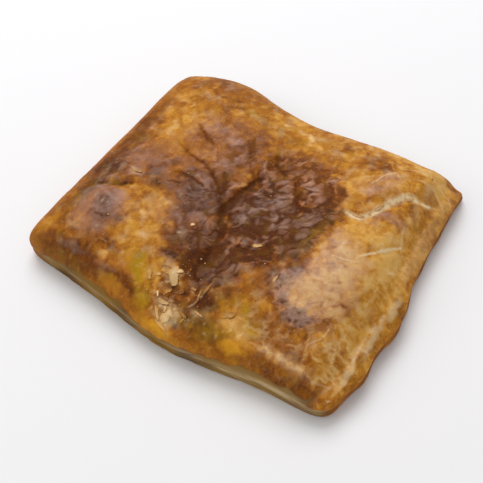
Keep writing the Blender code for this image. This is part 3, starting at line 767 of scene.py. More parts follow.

# Places that browned more, or less, than the lid around them, and a few rows of painted shade or highlight,
# as marked: middle, half widths along and across, turn in degrees, and strength. No place is baked less than
# palest or more than darkest.
PALEST, DARKEST = 0.20, 0.90
BAKED = [
    # The left end
    (-57, -15, 13, 6, 87, 0.22), (-63, -12, 10, 3, 88, 0.1), (-62, -28, 20, 4, 88, 0.04),
    (-60, 10, 16, 6, 90, 0.18), (-55, -22, 5, 2.5, 20, 0.12), (-39, -5, 6, 4, 80, 0.14),
    (-50, -14, 9, 6, -10, 0.16), (-33, -12, 7, 6, 0, 0.14), (-58, -34, 3, 6, 0, 0.07),
    # (-46, -31): darker, so that with the painted sheen it shows as a grey-blue painted reflection
    (-46, -31, 5, 3.4, 0, 0.2), (-36.5, -32.5, 1.8, 1.1, 40, 0.25), (-44, -37, 4, 2.4, 0, 0.06),
    (-41, -23.5, 4.5, 3, -30, -0.12), (-52, -34, 3, 7, 20, -0.06), (-39, -29, 4, 2.5, 0, -0.08),
    (-45, -11.5, 4, 2, 0, -0.16), (-48, -20, 7, 3, 0, 0.08), (-31, -26, 2, 1.6, 0, -0.1),
    (-46, 22, 9, 14, -50, -0.05), (-40, 14, 6, 8, 0, -0.05),
    # The dark skins in the middle
    (-15, -14, 4, 2, 20, 0.22), (-17, -6, 4, 2, -20, 0.14), (-12, -10, 6, 6, 0, 0.12),
    (-14, -24, 7, 8, 0, 0.06), (-12, -35, 3.6, 1.6, 0, 0.22), (-24, 17, 7, 6, 0, -0.08),
    (-6, 16, 10, 8, 0, -0.05), (28, -26.5, 3.5, 3.5, 0, 0.13), (0, -20, 5, 7, 0, -0.05),
    (-8, 4, 4, 10, 0, -0.04), (2, 1.6, 2, 1.4, 0, 0.12), (8.5, -2.6, 4, 2.4, -20, 0.12),
    (0, -24, 7, 11, 0, 0.08), (14, -21, 8, 3, 10, 0.06), (28, -7, 4, 2.5, 10, 0.1),
    (20, -12, 5, 2, 10, 0.08), (-8, 12, 4, 5, 0, -0.05), (-17, -13, 5, 5, 0, 0.04), (20, 12, 8, 6, 0, -0.03),
    (-8, 6, 5, 8, 0, -0.08), (-20, 2, 8, 6, 0, -0.04), (8, -3, 15, 10, 0, 0.19), (27, 0, 5, 8, 0, 0.1),
    (-28, -36, 14, 8, 0, 0.04), (26, 18, 5, 6, 0, 0.04), (24, -32, 6, 5, -20, 0.14),
    (26, -38, 7, 4, 0, 0.04), (-28, -29, 8, 13, 10, -0.11), (-25, -34, 4, 3, 20, -0.08),
    (-28, -22, 5, 3.4, 40, -0.08), (-24, 8, 14, 7, 0, -0.08),
    # The right swelling and the pressed side
    (53.5, -27, 4, 3, 20, -0.15), (34, -23, 4, 6, 0, 0.06), (67.5, -8, 2, 8, 0, -0.1),
    (57, -4, 4, 5, 0, -0.05), (66, 4, 3, 16, 0, -0.05), (45, 27, 7, 2.6, 60, 0.2),
    # (47, 17.5): painted shadow beside the long crack
    (47, 17.5, 3.5, 1.6, 60, 0.06), (40, 20, 3, 3, 0, -0.08), (56, 27, 6, 5, 20, -0.03),
    (57, -1, 4, 13, 0, -0.14), (64.5, 18, 14, 2.4, 92, 0.05), (69, 0, 50, 2.2, 88, 0.1),
    (31, -27, 6, 4, -50, 0.2), (50, -26, 6, 4, 40, -0.12), (32, -21, 5, 4, 70, 0.24),
    (32, -14, 4, 7, 0, 0.18), (38.5, -36, 2.4, 1.5, 0, 0.34), (43.5, -33.6, 3.2, 2.2, 10, 0.46),
    (35, -31, 3, 2, -40, 0.18), (48, -29.5, 4.5, 3, 30, 0.06), (55, -28, 5, 4, 45, -0.02),
    (46.5, -9.3, 1.1, 0.8, 60, 0.34), (42, -11.5, 2, 0.8, 40, 0.16), (48, -16.5, 2, 1, 20, 0.16),
    (40, -16, 4, 2, 30, 0.08), (33, 22, 8, 2.5, 100, -0.16), (50, 4, 12, 12, 0, -0.14),
    (57, 17, 5, 5, 0, -0.1), (38.6, 26.4, 3, 3, 0, -0.08), (61, 4, 5, 44, 0, -0.08),
    # Along the back edge
    (30, 43, 5, 3, 0, 0.07), (-20, 38.6, 5, 3, 0, 0.03), (-50, 44, 5, 5, 0, 0.07),
    (-41, 51, 10, 5, -20, 0.14), (-31, 38, 5, 3.5, 60, 0.12), (-44, 40, 14, 9, 0, 0.09),
    (-14, 36, 10, 3, 0, -0.05), (20, 43.5, 4, 2.5, 0, 0.1), (37, 40, 7, 5, -30, 0.21),
    # (4.5, 41.5): a painted highlight on the back ridge
    (8, 28, 6, 3, 0, -0.07), (33, 38, 1.6, 1.3, 0, 0.2), (4.5, 41.5, 3, 1.2, -60, -0.16),
    (-8, 42, 3, 2, 0, -0.1), (0, 44, 16, 6, 0, -0.05), (50, 52, 16, 4, 2, -0.2), (40, 34, 7, 5, 20, -0.04),
    (60, 48, 9, 6, 0, -0.08), (50, 46, 16, 4, -10, -0.03),
    # Along the front edge
    (-60, -40, 14, 6, 90, 0.05), (-45, -49, 5, 2, 0, 0.08), (-17, -42, 8, 0.8, -56, -0.1),
    (-10.5, -47, 6, 0.7, -62, -0.1), (-8, -48, 10, 6, 0, 0.06), (0, -54, 60, 5, 0, 0.1),
    (-47, -49.5, 13, 2, 2, 0.17), (-46, -53, 18, 3.5, 0, 0.18), (-48, -45, 9, 4, 0, 0.1),
    (-22, -51.5, 12, 3, -6, 0.12), (-35, -42.5, 5, 2.6, 0, 0.16), (12, -39, 9, 5, 60, 0.28),
    (8, -45, 8, 5, 0, 0.16), (3, -46, 8, 6, 0, 0.14), (3.2, -55, 2.6, 2, -30, 0.26),
    (3.6, -51.6, 1.6, 1, 40, 0.12), (16, -52, 9, 5, 0, 0.24), (49, -51.5, 15, 2.4, 2, 0.17),
    # (40, -39.5): painted shadow below the right swelling's film border
    (19, -44, 4, 5, 0, 0.08), (41, -44, 10, 4, 0, 0.14), (40, -39.5, 11, 2.5, 0, 0.14),
    (-17, -47, 11, 3, -50, -0.12), (46, -46, 4, 2, 0, 0.12), (29, -42, 6, 3, 0, 0.08),
    (48, -54.5, 10, 2.5, 0, 0.14), (26, -46, 7, 5, 0, -0.1),
]
# More of them all over the lid, in groups of one size: middle and strength
BAKED += same_size(4, 4, [
    (-57, -28, 0.16), (-56, 46, -0.06), (-50, -4, 0.1), (-32, -21, 0.1), (0, 12, 0.11), (6, -4, 0.05),
    (8, 4, 0.05), (16, -20, -0.05), (24, -52, 0.04), (24, -44, 0.02), (32, -44, 0.04), (42, 44, -0.04),
    (48, -43.5, 0.12), (48, -36, 0.06), (55, -18.5, -0.06), (58, -36, 0.05), (64, -52, -0.07),
])
BAKED += same_size(4, 3, [
    (0, 28, 0.06), (31, 30, -0.06), (32, 36, 0.08), (33, -36, 0.1), (41, 10, 0.05), (62, -50, 0.06),
    (64, 53, 0.16),
])
BAKED += same_size(5, 4, [
    (-49, -36, 0.05), (-40, 28, 0.05), (-31, -4, -0.1), (-17, -19, 0.08), (-8, 20, -0.05), (-4, -43, 0.1),
])
BAKED += same_size(6, 4, [
    (-28, -20, 0.05), (20, 14, 0.06), (24, 44, 0.05), (50, 20, 0.21), (60, -50, -0.06),
])
BAKED += same_size(8, 4, [
    (-14, 38, 0.06), (6, 8, 0.04), (44, -28, 0.05), (48, -52, 0.03),
])
BAKED += same_size(6, 5, [
    (-50, -38, -0.05), (4, -33, 0.06), (24, -23, 0.17), (31, -42, 0.1),
])

# How mottled the browning is: in small flat faces, and calmer on the back shoulder, the left end and the
# front flap
skinned = np.clip(sunken + brown_skin + left_skin + left_swelling + right_swelling, 0, 1)
mottle = 0.75 * facets(warp_x, warp_y, 5.2, 93) + 0.5 * facets(wavy_x, wavy_y, 2.4, 95)
mottle += 0.45 * layers(warp_x, warp_y, 3.6, 97, 3)
calm = 1 - 0.5 * ease(y, 34, 46) * ease(-x, 10, 30)
calm *= 1 - 0.65 * ease(-x, 53, 60) * ease(y, -54, -48)
calm *= 1 - 0.5 * ease(-y, 46, 50)
mottle *= calm * (1 - 0.5 * crackled) * np.where(mottle > 0, 0.6 + 0.4 * skinned, 1)

# How browned each place is, with painted shade and light: an even ground, the skins and swellings, mottle and
# patches, the film's border, then painted shade in hollows and creases and lighter crests and folds, cracks
# between islands, and a limit on the darkest places of each side
bake = 0.52 + 0.10 * layers(x, y, 11.0, 91, 3) + 0.05 * ease(-x, 53, 60)
bake += (0.06 + 0.06 * right_swelling) * grit
bake += (0.23 + 0.12 * ease(12 - y, -8, 12)) * sunken + (0.24 - 0.08 * ease(y, -2, 14)) * brown_skin
# The right swelling is pulled to a lighter tone: partly its paler film, partly painted light where it faces
# the lamps
bake += 0.14 * left_skin + 0.22 * left_swelling + (0.36 - bake) * 0.85 * right_swelling
bake += (0.19 - 0.09 * skinned + 0.12 * right_swelling) * mottle + patches(ragged_x, ragged_y, BAKED)
# Painted shadow just outside the film's border, and a painted highlight along its edge
bake += film_border * (0.34 + 0.24 * lumps - 0.20 * seam) + 0.14 * film_shadow - 0.08 * film_edge
# Painted shade in hollows, creases and valleys, lighter crests, and a painted highlight on the lit folds
bake += 0.12 * hollow * (0.3 + sunken) + 0.14 * crease + 0.03 * valley - 0.08 * lit_fold
bake += crackled * (0.14 * island_value - 0.19 * net) - 0.14 * np.clip(crumbly, -1, 0)
# Darker in the wrinkles' seams on the sunken skin, painted shade, and a little lighter there on the left skin
bake += (0.10 * sunken - 0.03 * left_skin) * puckered
bake += 0.03 * shoulder_film - 0.08 * shoulder_rim
bake -= 0.40 * np.maximum(bake - 0.62, 0) * (1 - skinned) * ease(x, 15, 25)
bake -= (0.07 * veins(warp_x, warp_y, 3.6, 0.16, 99) + 0.06 * chips) * flaky_side
bake -= 0.07 * island_value * bell(y, -38, 9) * flaky_side
bake -= 0.5 * np.maximum(bake - 0.74, 0) * ease(y, 6, 18)
bake = np.clip(bake, PALEST, DARKEST)

# Where the egg glaze dried to a glossy film, which also carries the painted sheen, or didn't, in the same
# form. A few rows paint a highlight or a shadow, as marked.
FILMS = [
    # The left end
    (-49, -4, 8, 4.5, -50, 0.6), (-52, -12, 3.4, 1.6, -60, 0.6), (-44.5, -11.5, 3.6, 1.8, 0, 0.9),
    (-39, -5, 5, 5, 0, 0.4), (-49, -18, 6, 1.4, 22, 0.9), (-55, -22, 4, 2, 0, 0.3),
    (-31, 25, 7, 4, -10, 0.55), (-34, 21, 3, 1.2, -40, 0.5), (-50, -36, 5, 5, 0, 0.4),
    # The dark skins in the middle
    (-22, 24, 5, 2.2, -60, 0.5), (-18, 21, 2.6, 1.3, 50, 0.8), (-16, 14, 6, 5, 0, 0.35),
    (-24, 1, 8, 3.4, -10, 0.2), (-11, -17, 4, 2.4, 0, 0.6), (-13, -25, 3, 2.2, 0, 0.8),
    (-17, -22, 3, 1.6, -50, 0.6), (-10, -11, 3, 4, 0, 0.35), (-12.5, -37, 5, 1.6, 0, 0.7),
    (-27, -10, 6, 3, 0, 0.15), (4, 2, 2.2, 1.3, 20, 0.7), (7.5, 0, 1.8, 1.1, -30, 0.6),
    (-3, 18, 3.4, 1.8, -70, 0.8), (6, 22.5, 4.4, 2.4, -20, 0.5), (9, 16, 2.6, 2, 0, 0.7),
    (12.5, 12, 4, 1.8, -55, 0.8), (18.5, 17, 5, 2.4, -30, 1), (20.5, 15.5, 2, 1.2, -30, 0.8),
    (25.5, 12, 2.8, 1.7, 80, 0.9), (25.5, 24, 2.4, 1.7, 0, 0.8), (13, 5.5, 5.2, 2.4, -30, 0.7),
    (6.6, 5, 2.4, 1.4, 10, 0.7), (12.8, -1, 4.4, 1.7, -55, 0.8), (17.5, -3, 3.4, 3.4, 0, 0.7),
    (20, 11, 3.5, 2.5, 60, 0.7), (2, -9.6, 3.4, 3.4, 0, 0.9), (9.5, -6.5, 2.2, 1.8, 0, 1),
    (6.6, -4.6, 1.6, 1.2, 0, 0.7), (22.5, 2.2, 4, 1.2, 10, 0.8), (27, -2, 3.4, 3, 0, 0.55),
    # (15.2, -16.5): a painted highlight
    (28, -7, 2, 1.4, 0, 0.7), (9, -17, 3.8, 1.7, 15, 1), (15.2, -16.5, 2.2, 1.5, 10, 1.2),
    (6, -22.5, 2.8, 1.1, -60, 0.7), (13.5, -28, 4, 2, 25, 0.8), (19, -22.6, 5, 0.9, 30, 0.7),
    (-3, -19.5, 1.6, 1.4, 0, 0.7), (1, 5, 3, 1.4, 0, 0.8), (-1, -3, 2.4, 3, 0, 0.5),
    (-7.5, 3.5, 4.4, 1.2, 55, 0.8), (28, 9, 3.4, 4, 0, 0.6), (24, -14, 3.6, 2, 40, 0.25),
    (17, -11.6, 1.5, 1.2, 0, 0.8), (1, 25.5, 2.4, 1.4, 0, 0.5), (13, -33, 5, 1.6, 30, 0.6),
    (28, -26, 6, 4, -20, 0.35), (-26, -21, 8, 5, 0, 0.35),
    # The right swelling and the pressed side
    (53, -26, 4.5, 3, 30, 0.65), (51, -33, 3, 2, 0, 0.3), (55, -20, 3, 5, 0, 0.25),
    # (47, 18): painted shadow beside the long crack
    (38.5, 26.5, 3, 2.4, 60, 0.7), (47, 18, 4, 1.8, 60, 0.7), (52, 20, 5.4, 3, 10, 0.9),
    (64.5, 18, 14, 2.4, 92, 0.35),
    # Along the back edge
    (42, 33, 7, 3.4, 70, 1.1), (-40, 48, 5, 1.2, -65, 0.7), (12, 43, 2, 3, 0, 0.3),
    # Along the front edge
    (51, -49.5, 6, 1.6, 0, 0.35), (-47, -44, 3, 1.6, 0, 0.3), (3, -40, 3, 1.2, -20, 0.4),
    (36, -38.4, 5, 1, -8, 0.3), (-48, -50, 9, 1.4, 0, 0.4), (-32, -50.6, 5, 1.4, 0, 0.4),
]

# How much glossy film, with its painted sheen, each place has: most where it dulls in facets, and none along
# creases and the film's border
shine = 0.5 + 0.45 * facets(swept_x, swept_y, 3.1, 101) + 0.6 * layers(warp_x, warp_y, 4.5, 107, 3)
# The painted sheen, with the film, is kept off hollows
dull = ease(shine - 0.5 * hollow, -0.1, 0.8)
fine = 0.8 * facets(swept_x, swept_y, 2.6, 143) + 0.5 * facets(warp_x, warp_y, 1.6, 147)
fine += 0.6 * layers(warp_x, warp_y, 2.4, 145, 3)
stem = patches(x, y, [(0, -26, 6, 12, 0, 1.0)])
glaze_and_sheen = (0.12 * sunken * (1 - stem) + 0.08 * brown_skin + 0.20 * left_skin) * (0.55 + 0.45 * dull)
glaze_and_sheen += patches(ragged_x, ragged_y, FILMS) * (0.12 + 0.55 * dull) * (1 - 0.3 * sunken)
glaze_and_sheen += 0.16 * shoulder_film
# Painted sheen that changes from face to face of the wrinkles, less in their seams
glaze_and_sheen += (0.34 * wrinkle_value - 0.32 * puckered) * leathery
glaze_and_sheen += (0.36 * sunken + 0.20 * brown_skin + 0.16 * left_skin) * ease(fine, 0.05, 0.8)
film_shine = 0.9 + 0.4 * layers(warp_x, warp_y, 4.0, 137, 3) + 0.4 * facets(warp_x, warp_y, 3.2, 151)
film_shine += 0.4 * grit
left_shine = (0.90 * film_shine - glaze_and_sheen) * 0.8 * left_swelling
right_shine = (1.20 * film_shine - glaze_and_sheen) * 0.85 * right_swelling
# Painted sheen on the lit folds, and none along creases and their valleys
glaze_and_sheen += left_shine + right_shine + 0.25 * lit_fold - 0.55 * crease - 0.2 * valley
# More painted sheen along the film's edge
glaze_and_sheen += 0.2 * film_edge - (0.70 + 0.5 * lumps - 0.6 * seam) * film_border
glaze_and_sheen = np.clip(glaze_and_sheen, 0, 1) * (1 - 0.4 * stem)

# Pale inner leaves laid bare, greasy yellow dough by the torn spot, and glowing orange spots on the
# shoulders, each in the same form. A few pale rows are painted glints or a highlight, and one orange row a
# painted shadow, as marked.
BARED = [
    (-7.5, -40.5, 4, 2.6, -50, 0.3), (-5, -51, 3, 2, 0, 0.25), (1, -53.5, 4, 4.4, -10, 0.3),
    (-1, -57, 6, 0.8, -25, 0.3), (9, -48.3, 3, 0.9, -10, 0.2), (-13.5, -26, 0.6, 0.5, 0, 0.4),
    # (-46.5, -31): a painted glint on the left swelling
    (-46.5, -31, 0.5, 0.5, 0, 0.45), (39, 12.4, 4, 1.5, 5, 0.5), (-45, -11.5, 2.6, 1.2, 0, 0.3),
    # (4.5, 41.5): a painted highlight on the back ridge
    (24, -45, 5, 4, 0, 0.09), (4.5, 41.5, 2.6, 0.9, -60, 0.4), (-8, 42.3, 1.1, 0.9, 0, 0.4),
    # (-44, -30.8): a painted glint on the left swelling
    (-44, -30.8, 0.4, 0.4, 0, 0.4), (48, -47.8, 12, 2.2, 2, 0.07), (67.6, -8, 6, 1.4, 92, 0.45),
    (66.6, -22, 9, 1.1, 91, 0.45), (65.4, -39, 5, 1.1, 90, 0.5), (60, 40, 8, 3, 50, 0.06),
    (64.5, 26, 26, 2.6, 91, 0.12), (-31, -26, 1.2, 1, 0, 0.3), (-26, -34, 2, 1.2, 0, 0.25),
]
GREASY = [
    (-15, -50, 11, 2.2, -50, 0.7), (-19, -44, 6, 1.4, -62, 0.5), (-15.5, -45, 9, 1.1, -52, 0.55),
    (-12, -50, 6, 1, -60, 0.45), (-11.5, -55, 5, 3.4, -40, 0.5), (1, -54, 4, 3, 0, 0.4),
    (-21, -42.6, 4, 3, 0, 0.6), (25, -38, 8, 5, 0, 0.45), (24, -45, 7, 6, 0, 0.9), (0, 36, 14, 3, 0, 0.25),
    (-53, -54, 14, 2, 0, 0.3), (64, 14, 34, 2.6, 90, 0.3), (66.5, -28, 20, 1.5, 91, 0.35),
    (2, -52, 8, 5, 0, 0.18), (-2, 28, 3, 2, 0, 0.4), (16, -52, 10, 5, 0, 0.5), (28, -8, 8, 8, 0, 0.12),
    (0, -52, 4, 3, 0, 0.3), (-2, -58, 4, 2, 0, 0.5), (-58, -31, 3, 9, 0, 0.3), (-21, 38.6, 6, 3, 0, 0.3),
    (32, -45, 4, 3, 0, 0.3), (33, 3, 14, 2.2, 80, 0.22), (32, -43, 5, 3, 0, 0.3),
    (60, -11, 7, 2.5, 80, 0.15), (69, -22, 14, 1.8, 90, 0.4), (-57, 6, 5, 3, 0, 0.3),
]
EMBERS = [
    (-25, -42.5, 2.2, 2, 0, 0.5), (-27, -54.5, 6, 1.8, -8, 0.4), (-1, -59.5, 8, 2, -3, 0.9),
    (28, -53, 4.6, 2, 5, 0.9), (-40, -17.5, 3, 1.6, 0, 0.5), (42.5, 20, 5, 1.6, 65, 0.35),
    (-63, -46, 6, 3, 60, 0.35), (65, 52, 3, 2, 0, 0.3), (-44, -18, 3, 1.2, 20, 0.4),
    # (46, -37.5): painted shadow below the right swelling's film border
    (-42, 12, 8, 4, -40, 0.25), (46, -37.5, 4, 0.8, 10, 0.4), (45, 27, 7, 2.4, 60, 0.35),
    (37, 25, 2, 4, 0, 0.3),
]

# How far inner leaves show at each place, with pale spots on the high crust as painted highlights and a
# painted sheen on the right swelling, then how greasy it is and how much it glows
gold = 1 - skinned
fleck = ease(noise(x, y, 1.5, 109), 0.42, 0.75) * ease(layers(x, y, 12.0, 111), -0.1, 0.4)
# Pale spots on the high crust: painted highlights
highlight_spots = calm * ease(layers(x, y, 5.0, 121, 3), -0.1, 0.7) * ease(height, 12, 19)
bare_and_highlight = crack + patches(wavy_x, wavy_y, BARED) * (0.55 + 0.45 * torn)
bare_and_highlight += 0.22 * fleck * (1 - sunken) + 0.26 * gold * highlight_spots
# Deep in the right swelling's film it is painted paler: partly its milky film, partly a painted sheen
milky_sheen = 0.8 + 0.7 * layers(warp_x, warp_y, 3.0, 139, 3) + 1.0 * grit
bare_and_highlight += 0.26 * right_swelling * ease(film_depth, 0, 8) * milky_sheen
bare_and_highlight += 0.40 * np.clip(crumbly, 0, 1) + 0.22 * crackled * net
bare_and_highlight += 0.08 * flaky_side * veins(warp_x, warp_y, 5.0, 0.10, 105)
greasy = patches(ragged_x, ragged_y, GREASY) * (0.6 + 0.8 * mottle)
greasy += 0.26 * gold * calm * ease(layers(x, y, 9.0, 117), 0, 0.5)
streak_x, streak_y = turned(warp_x, warp_y, -52.0, 3.5)
greasy *= (1 - 0.7 * flaky_side * (x < 58)) * (0.75 + 1.3 * layers(streak_x, streak_y, 2.6, 153, 3))
greasy += (0.10 * sunken + 0.12 * brown_skin) * ease(layers(warp_x, warp_y, 5.0, 127), -0.1, 0.5)
ember = patches(ragged_x, ragged_y, EMBERS) * (0.8 + 0.6 * mottle)
ember += 0.25 * gold * ease(layers(x, y, 6.0, 119), 0.1, 0.6)

# The pressed groove, a broken pale line, and the leaves that show low on the shoulder of the cut sides, up
# to a height that changes along them
groove_line = bell(from_right, GROOVE_FROM_EDGE - 1.2, 0.55) * ease(layers(x, y, 4.0, 113, 3), -0.25, 0.3)
bare_and_highlight += groove_line * (0.12 + 0.42 * bell(y, -30, 17)) * (1 - ease(y, 44, 52)) * inside
BAND_TOP = [(-64, 7.0), (-57, 10.5), (-40, 12.0), (-20, 12.0), (-8, 9.0), (6, 9.0), (20, 10.5), (35, 12.0),
            (66, 10.5)]
turn = np.arctan2(y / DEPTH, x / LENGTH)
around = np.argsort(side_turn)
lid_run = np.interp(turn, side_turn[around], loop_run[around])
lid_leaf, lid_across = leaf_pattern(lid_run, height)
band_top = np.interp(x, *np.transpose(BAND_TOP)) + 1.2 * noise(lid_run, 0 * x, 6.0, 115)
band = ease(band_top - height, -0.5, 0.7) * cut_share(x) * (1 - ease(x, 56, 62))
leaf_bake, leaf_pale, leaf_oil = leaf_marks(lid_run, height, lid_across, lid_leaf)
bake += (leaf_bake - bake) * band
bare_and_highlight += (leaf_pale * flour_share(x) - bare_and_highlight) * band
greasy += (leaf_oil - greasy) * band
# The glaze mark here also paints a sheen along the pressed groove's pale line
glaze_and_sheen = glaze_and_sheen * (1 - band) * (1 - np.clip(bare_and_highlight, 0, 1)) + 0.8 * groove_line * bell(y, -24, 12) * inside
ember *= 1 - band

lid_grid = np.dstack([x, y, height])
# Rings that turn the lid's lip under: how far each stands in, and how far below the lip it is
LIP_RINGS = [(0.4, 0.35), (2.5, 0.45)]
lid_rings = [drawn_in(side_loop, inset, LIP_HEIGHT * lip_share - below) for inset, below in LIP_RINGS]
lid_data = closed_sheet("crust_lid", lid_grid, lid_rings, facing_up=True)
lid_marks = dict(bake=bake, glaze_and_sheen=glaze_and_sheen, pale=bare_and_highlight, oil=greasy, ember=ember)
paint(lid_data, **{name: np.clip(mark, 0, 1) for name, mark in lid_marks.items()})
lid_skin = dough_material("glazed_crust", lid_marks, 0.24, 0.55, 0.32, 0.3)
lid_piece = seat("crust_lid", lid_data, lid_skin)
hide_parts("slice")

# The lifted flakes
# Steam tore the lid near its front edge. Bits of its thin inner leaves broke loose there, curled as they
# dried and stayed pale, with one end still stuck to the crust. A few more stand along the lid's cracks.
FLAKE_THICKNESS = 0.14
FLAKE_COLUMNS, FLAKE_ROWS = 18, 10
WINDOW = 26
# Middle, half length, half width, turn in degrees, lift of the loose end and curl of the sides, then marks
FLAKES = [
    (-9.6, -39.9, 2.4, 1.8, 172, 0.2, 0.1, 0.46, 0.16, 0, 0),
    (-6.3, -40.2, 3.3, 2.3, -80, 0.6, 0.3, 0.36, 0.46, 0.08, 0),
    (-5.3, -38.2, 1.6, 0.9, 24, 0.5, 0.3, 0.3, 0.58, 0, 0),
    (-11.4, -42.8, 1, 0.6, 20, 0.4, 0.2, 0.34, 0.34, 0, 0),
    (-7.8, -48.9, 1.5, 0.4, -52, 0.8, 0.2, 0.2, 0.75, 0, 0),
    (-4.2, -50.3, 2.2, 0.9, 14, 0.4, 0.2, 0.42, 0.36, 0, 0),
    (-5.6, -45.8, 1.8, 1, 60, 0.3, 0.2, 0.56, 0.12, 0, 0),
    (2.2, -40.3, 1.2, 0.7, 0, 0.3, 0.2, 0.55, 0.2, 0, 0), (-0.6, -54, 3, 2, -100, 0.1, 0, 0.4, 0.44, 0.3, 0),
    (-2.6, -51.8, 1.6, 0.7, -60, 0.3, 0.1, 0.4, 0.42, 0.15, 0),
    (5.8, -52.8, 2, 0.6, 70, 0.2, 0, 0.6, 0.08, 0.45, 0),
    (4.6, -50.8, 2.4, 0.7, -24, 0.3, 0.1, 0.64, 0.06, 0.3, 0),
    (-4.2, -54.8, 3.2, 0.7, -46, 0.3, 0.1, 0.4, 0.26, 0.45, 0.1),
    (-0.4, -58, 3.2, 0.7, -14, 0.4, 0.2, 0.42, 0.22, 0.1, 0.45),
    (5.9, -42, 3, 0.6, -75, 0.4, 0.2, 0.56, 0.1, 0, 0),
    (7.8, -38.4, 3.6, 0.5, -102, 0.5, 0.2, 0.58, 0.1, 0, 0),
    (9.8, -48, 2.4, 0.5, -12, 0.2, 0.1, 0.5, 0.24, 0.15, 0),
    (-2, -43.6, 2.2, 1, 30, 0.2, 0.1, 0.62, 0.06, 0, 0),
    (-11.2, -20.5, 0.9, 0.7, 10, 0.3, 0.2, 0.3, 0.62, 0, 0),
    # (15.2, -16.5): a flake whose pale marks paint the highlight there
    (15.2, -16.5, 1.8, 0.9, 12, 0.4, 0.3, 0.4, 0.34, 0, 0),
    (28.5, -25.6, 1.5, 0.7, 80, 0.3, 0.2, 0.42, 0.3, 0, 0),
    (64.2, -50.2, 0.8, 0.5, 40, 0.3, 0.2, 0.42, 0.3, 0, 0),
    (45.4, 21.2, 2.2, 0.5, 66, 0.4, 0.2, 0.4, 0.42, 0, 0),
    (52.6, 31.8, 2, 0.5, 40, 0.4, 0.2, 0.4, 0.42, 0, 0), (40.6, 13.2, 2, 0.5, 18, 0.3, 0.2, 0.4, 0.4, 0, 0),
    (-44.6, -11.6, 2.4, 1, 10, 0.3, 0.2, 0.48, 0.2, 0, 0),
    (20.5, -44, 2.4, 1.1, 30, 0.3, 0.2, 0.5, 0.14, 0.2, 0),
    (-14.5, -44.5, 2.2, 0.9, -60, 0.3, 0.2, 0.42, 0.2, 0.4, 0),
]


def lid_height(at_x, at_y):
    """The lid's height under places near one another: the mean of the lid's points round them, each counted
    by 1 over the fourth power of its distance."""
    i, j = np.unravel_index(np.hypot(x - at_x.mean(), y - at_y.mean()).argmin(), x.shape)
    near = slice(max(i - WINDOW, 0), i + WINDOW), slice(max(j - WINDOW, 0), j + WINDOW)
    square = (at_x[..., None, None] - x[near]) ** 2 + (at_y[..., None, None] - y[near]) ** 2
    weight = (square + 0.02) ** -2
    return (weight * height[near]).sum(axis=(-1, -2)) / weight.sum(axis=(-1, -2))


def flake_grid():
    """Shares -1 to 1 along and across a flake, over its grid."""
    return np.meshgrid(*(np.linspace(-1, 1, count) for count in (FLAKE_COLUMNS, FLAKE_ROWS)), indexing="ij")


def leaf_faces(at_x, at_y, half_length, half_width, degrees, lift, curl, seed):
    """Upper and lower face of a torn leaf. Either rim runs straight between the random half widths at a few
    corners, and each end is cut askew. It rises to its loose end, and its sides curl up as a square."""
    along, across = flake_grid()
    dice = np.random.default_rng(seed)
    corners = dice.uniform(0.55, 1.15, (2, 7)) * [0.5, 0.85, 1, 1, 1, 0.8, 0.4]
    rims = [np.interp(along, np.linspace(-1, 1, 7), width) for width in corners]
    half_width = half_width * (np.where(across > 0, *rims) + 0.12 * noise(5 * along, 2 * across, 1.0, seed))
    out = half_length * along * (1 + 0.25 * noise(0.3 * along, 2.2 * across, 1.0, seed + 2))
    out += dice.uniform(-0.6, 0.6) * half_width * across
    side = half_width * across
    cos, sin = np.cos(np.radians(degrees)), np.sin(np.radians(degrees))
    leaf_x, leaf_y = at_x + out * cos - side * sin, at_y + out * sin + side * cos
    rise = 0.02 + lift * ease(along, -1.0, 1.4) + curl * across ** 2 * ease(along, -0.8, 0.4)
    top = lid_height(leaf_x, leaf_y) + rise + 0.12 * noise(2.5 * along, 2.5 * across, 1.0, seed + 4)
    thin = FLAKE_THICKNESS * (1 - 0.6 * np.maximum(np.abs(along), np.abs(across)) ** 4)
    return np.stack([np.dstack([leaf_x, leaf_y, top]), np.dstack([leaf_x, leaf_y, top - thin])])


def repeated(faces, count, size):
    """The same faces for each of a number of bodies, whose points, this many each, follow one another."""
    return (faces[None] + size * np.arange(count)[:, None, None]).reshape(-1, faces.shape[1])


leaves = np.stack([leaf_faces(*flake[:7], 201 + 7 * number) for number, flake in enumerate(FLAKES)])
leaf_number = np.arange(FLAKE_COLUMNS * FLAKE_ROWS).reshape(FLAKE_COLUMNS, FLAKE_ROWS)
face = grid_quads(leaf_number)
border = band_quads(np.stack([rim(leaf_number), rim(leaf_number) + leaf_number.size]))
one_leaf = np.concatenate([face, face[:, ::-1] + leaf_number.size, border])
leaf_quads = repeated(one_leaf, len(FLAKES), 2 * leaf_number.size)
flake_data = make_mesh("lifted_flakes", leaves.reshape(-1, 3), leaf_quads, np.empty((0, 3), int))
spots = layers(leaves[..., 0], leaves[..., 1], 1.6, 203)
mark_of = np.array(FLAKES)[:, 7:, None, None, None]
thin_rim = np.maximum(*np.abs(flake_grid())) ** 3
flake_bake = np.clip(mark_of[:, 0] + 0.40 * spots + 0.14 * thin_rim, 0, 1)
flake_pale, flake_oil, flake_ember = (
    np.clip(mark_of[:, k] * (1 + 0.8 * spots) * (1.25 - 0.7 * thin_rim), 0, 1) for k in (1, 2, 3)
)
paint(flake_data, bake=flake_bake, pale=flake_pale, oil=flake_oil, ember=flake_ember)
flake_skin = dough_material("loose_leaf", ("bake", "pale", "oil", "ember"), 0.22, 0.55, 0.0, 0.2)
seat("lifted_flakes", flake_data, flake_skin)

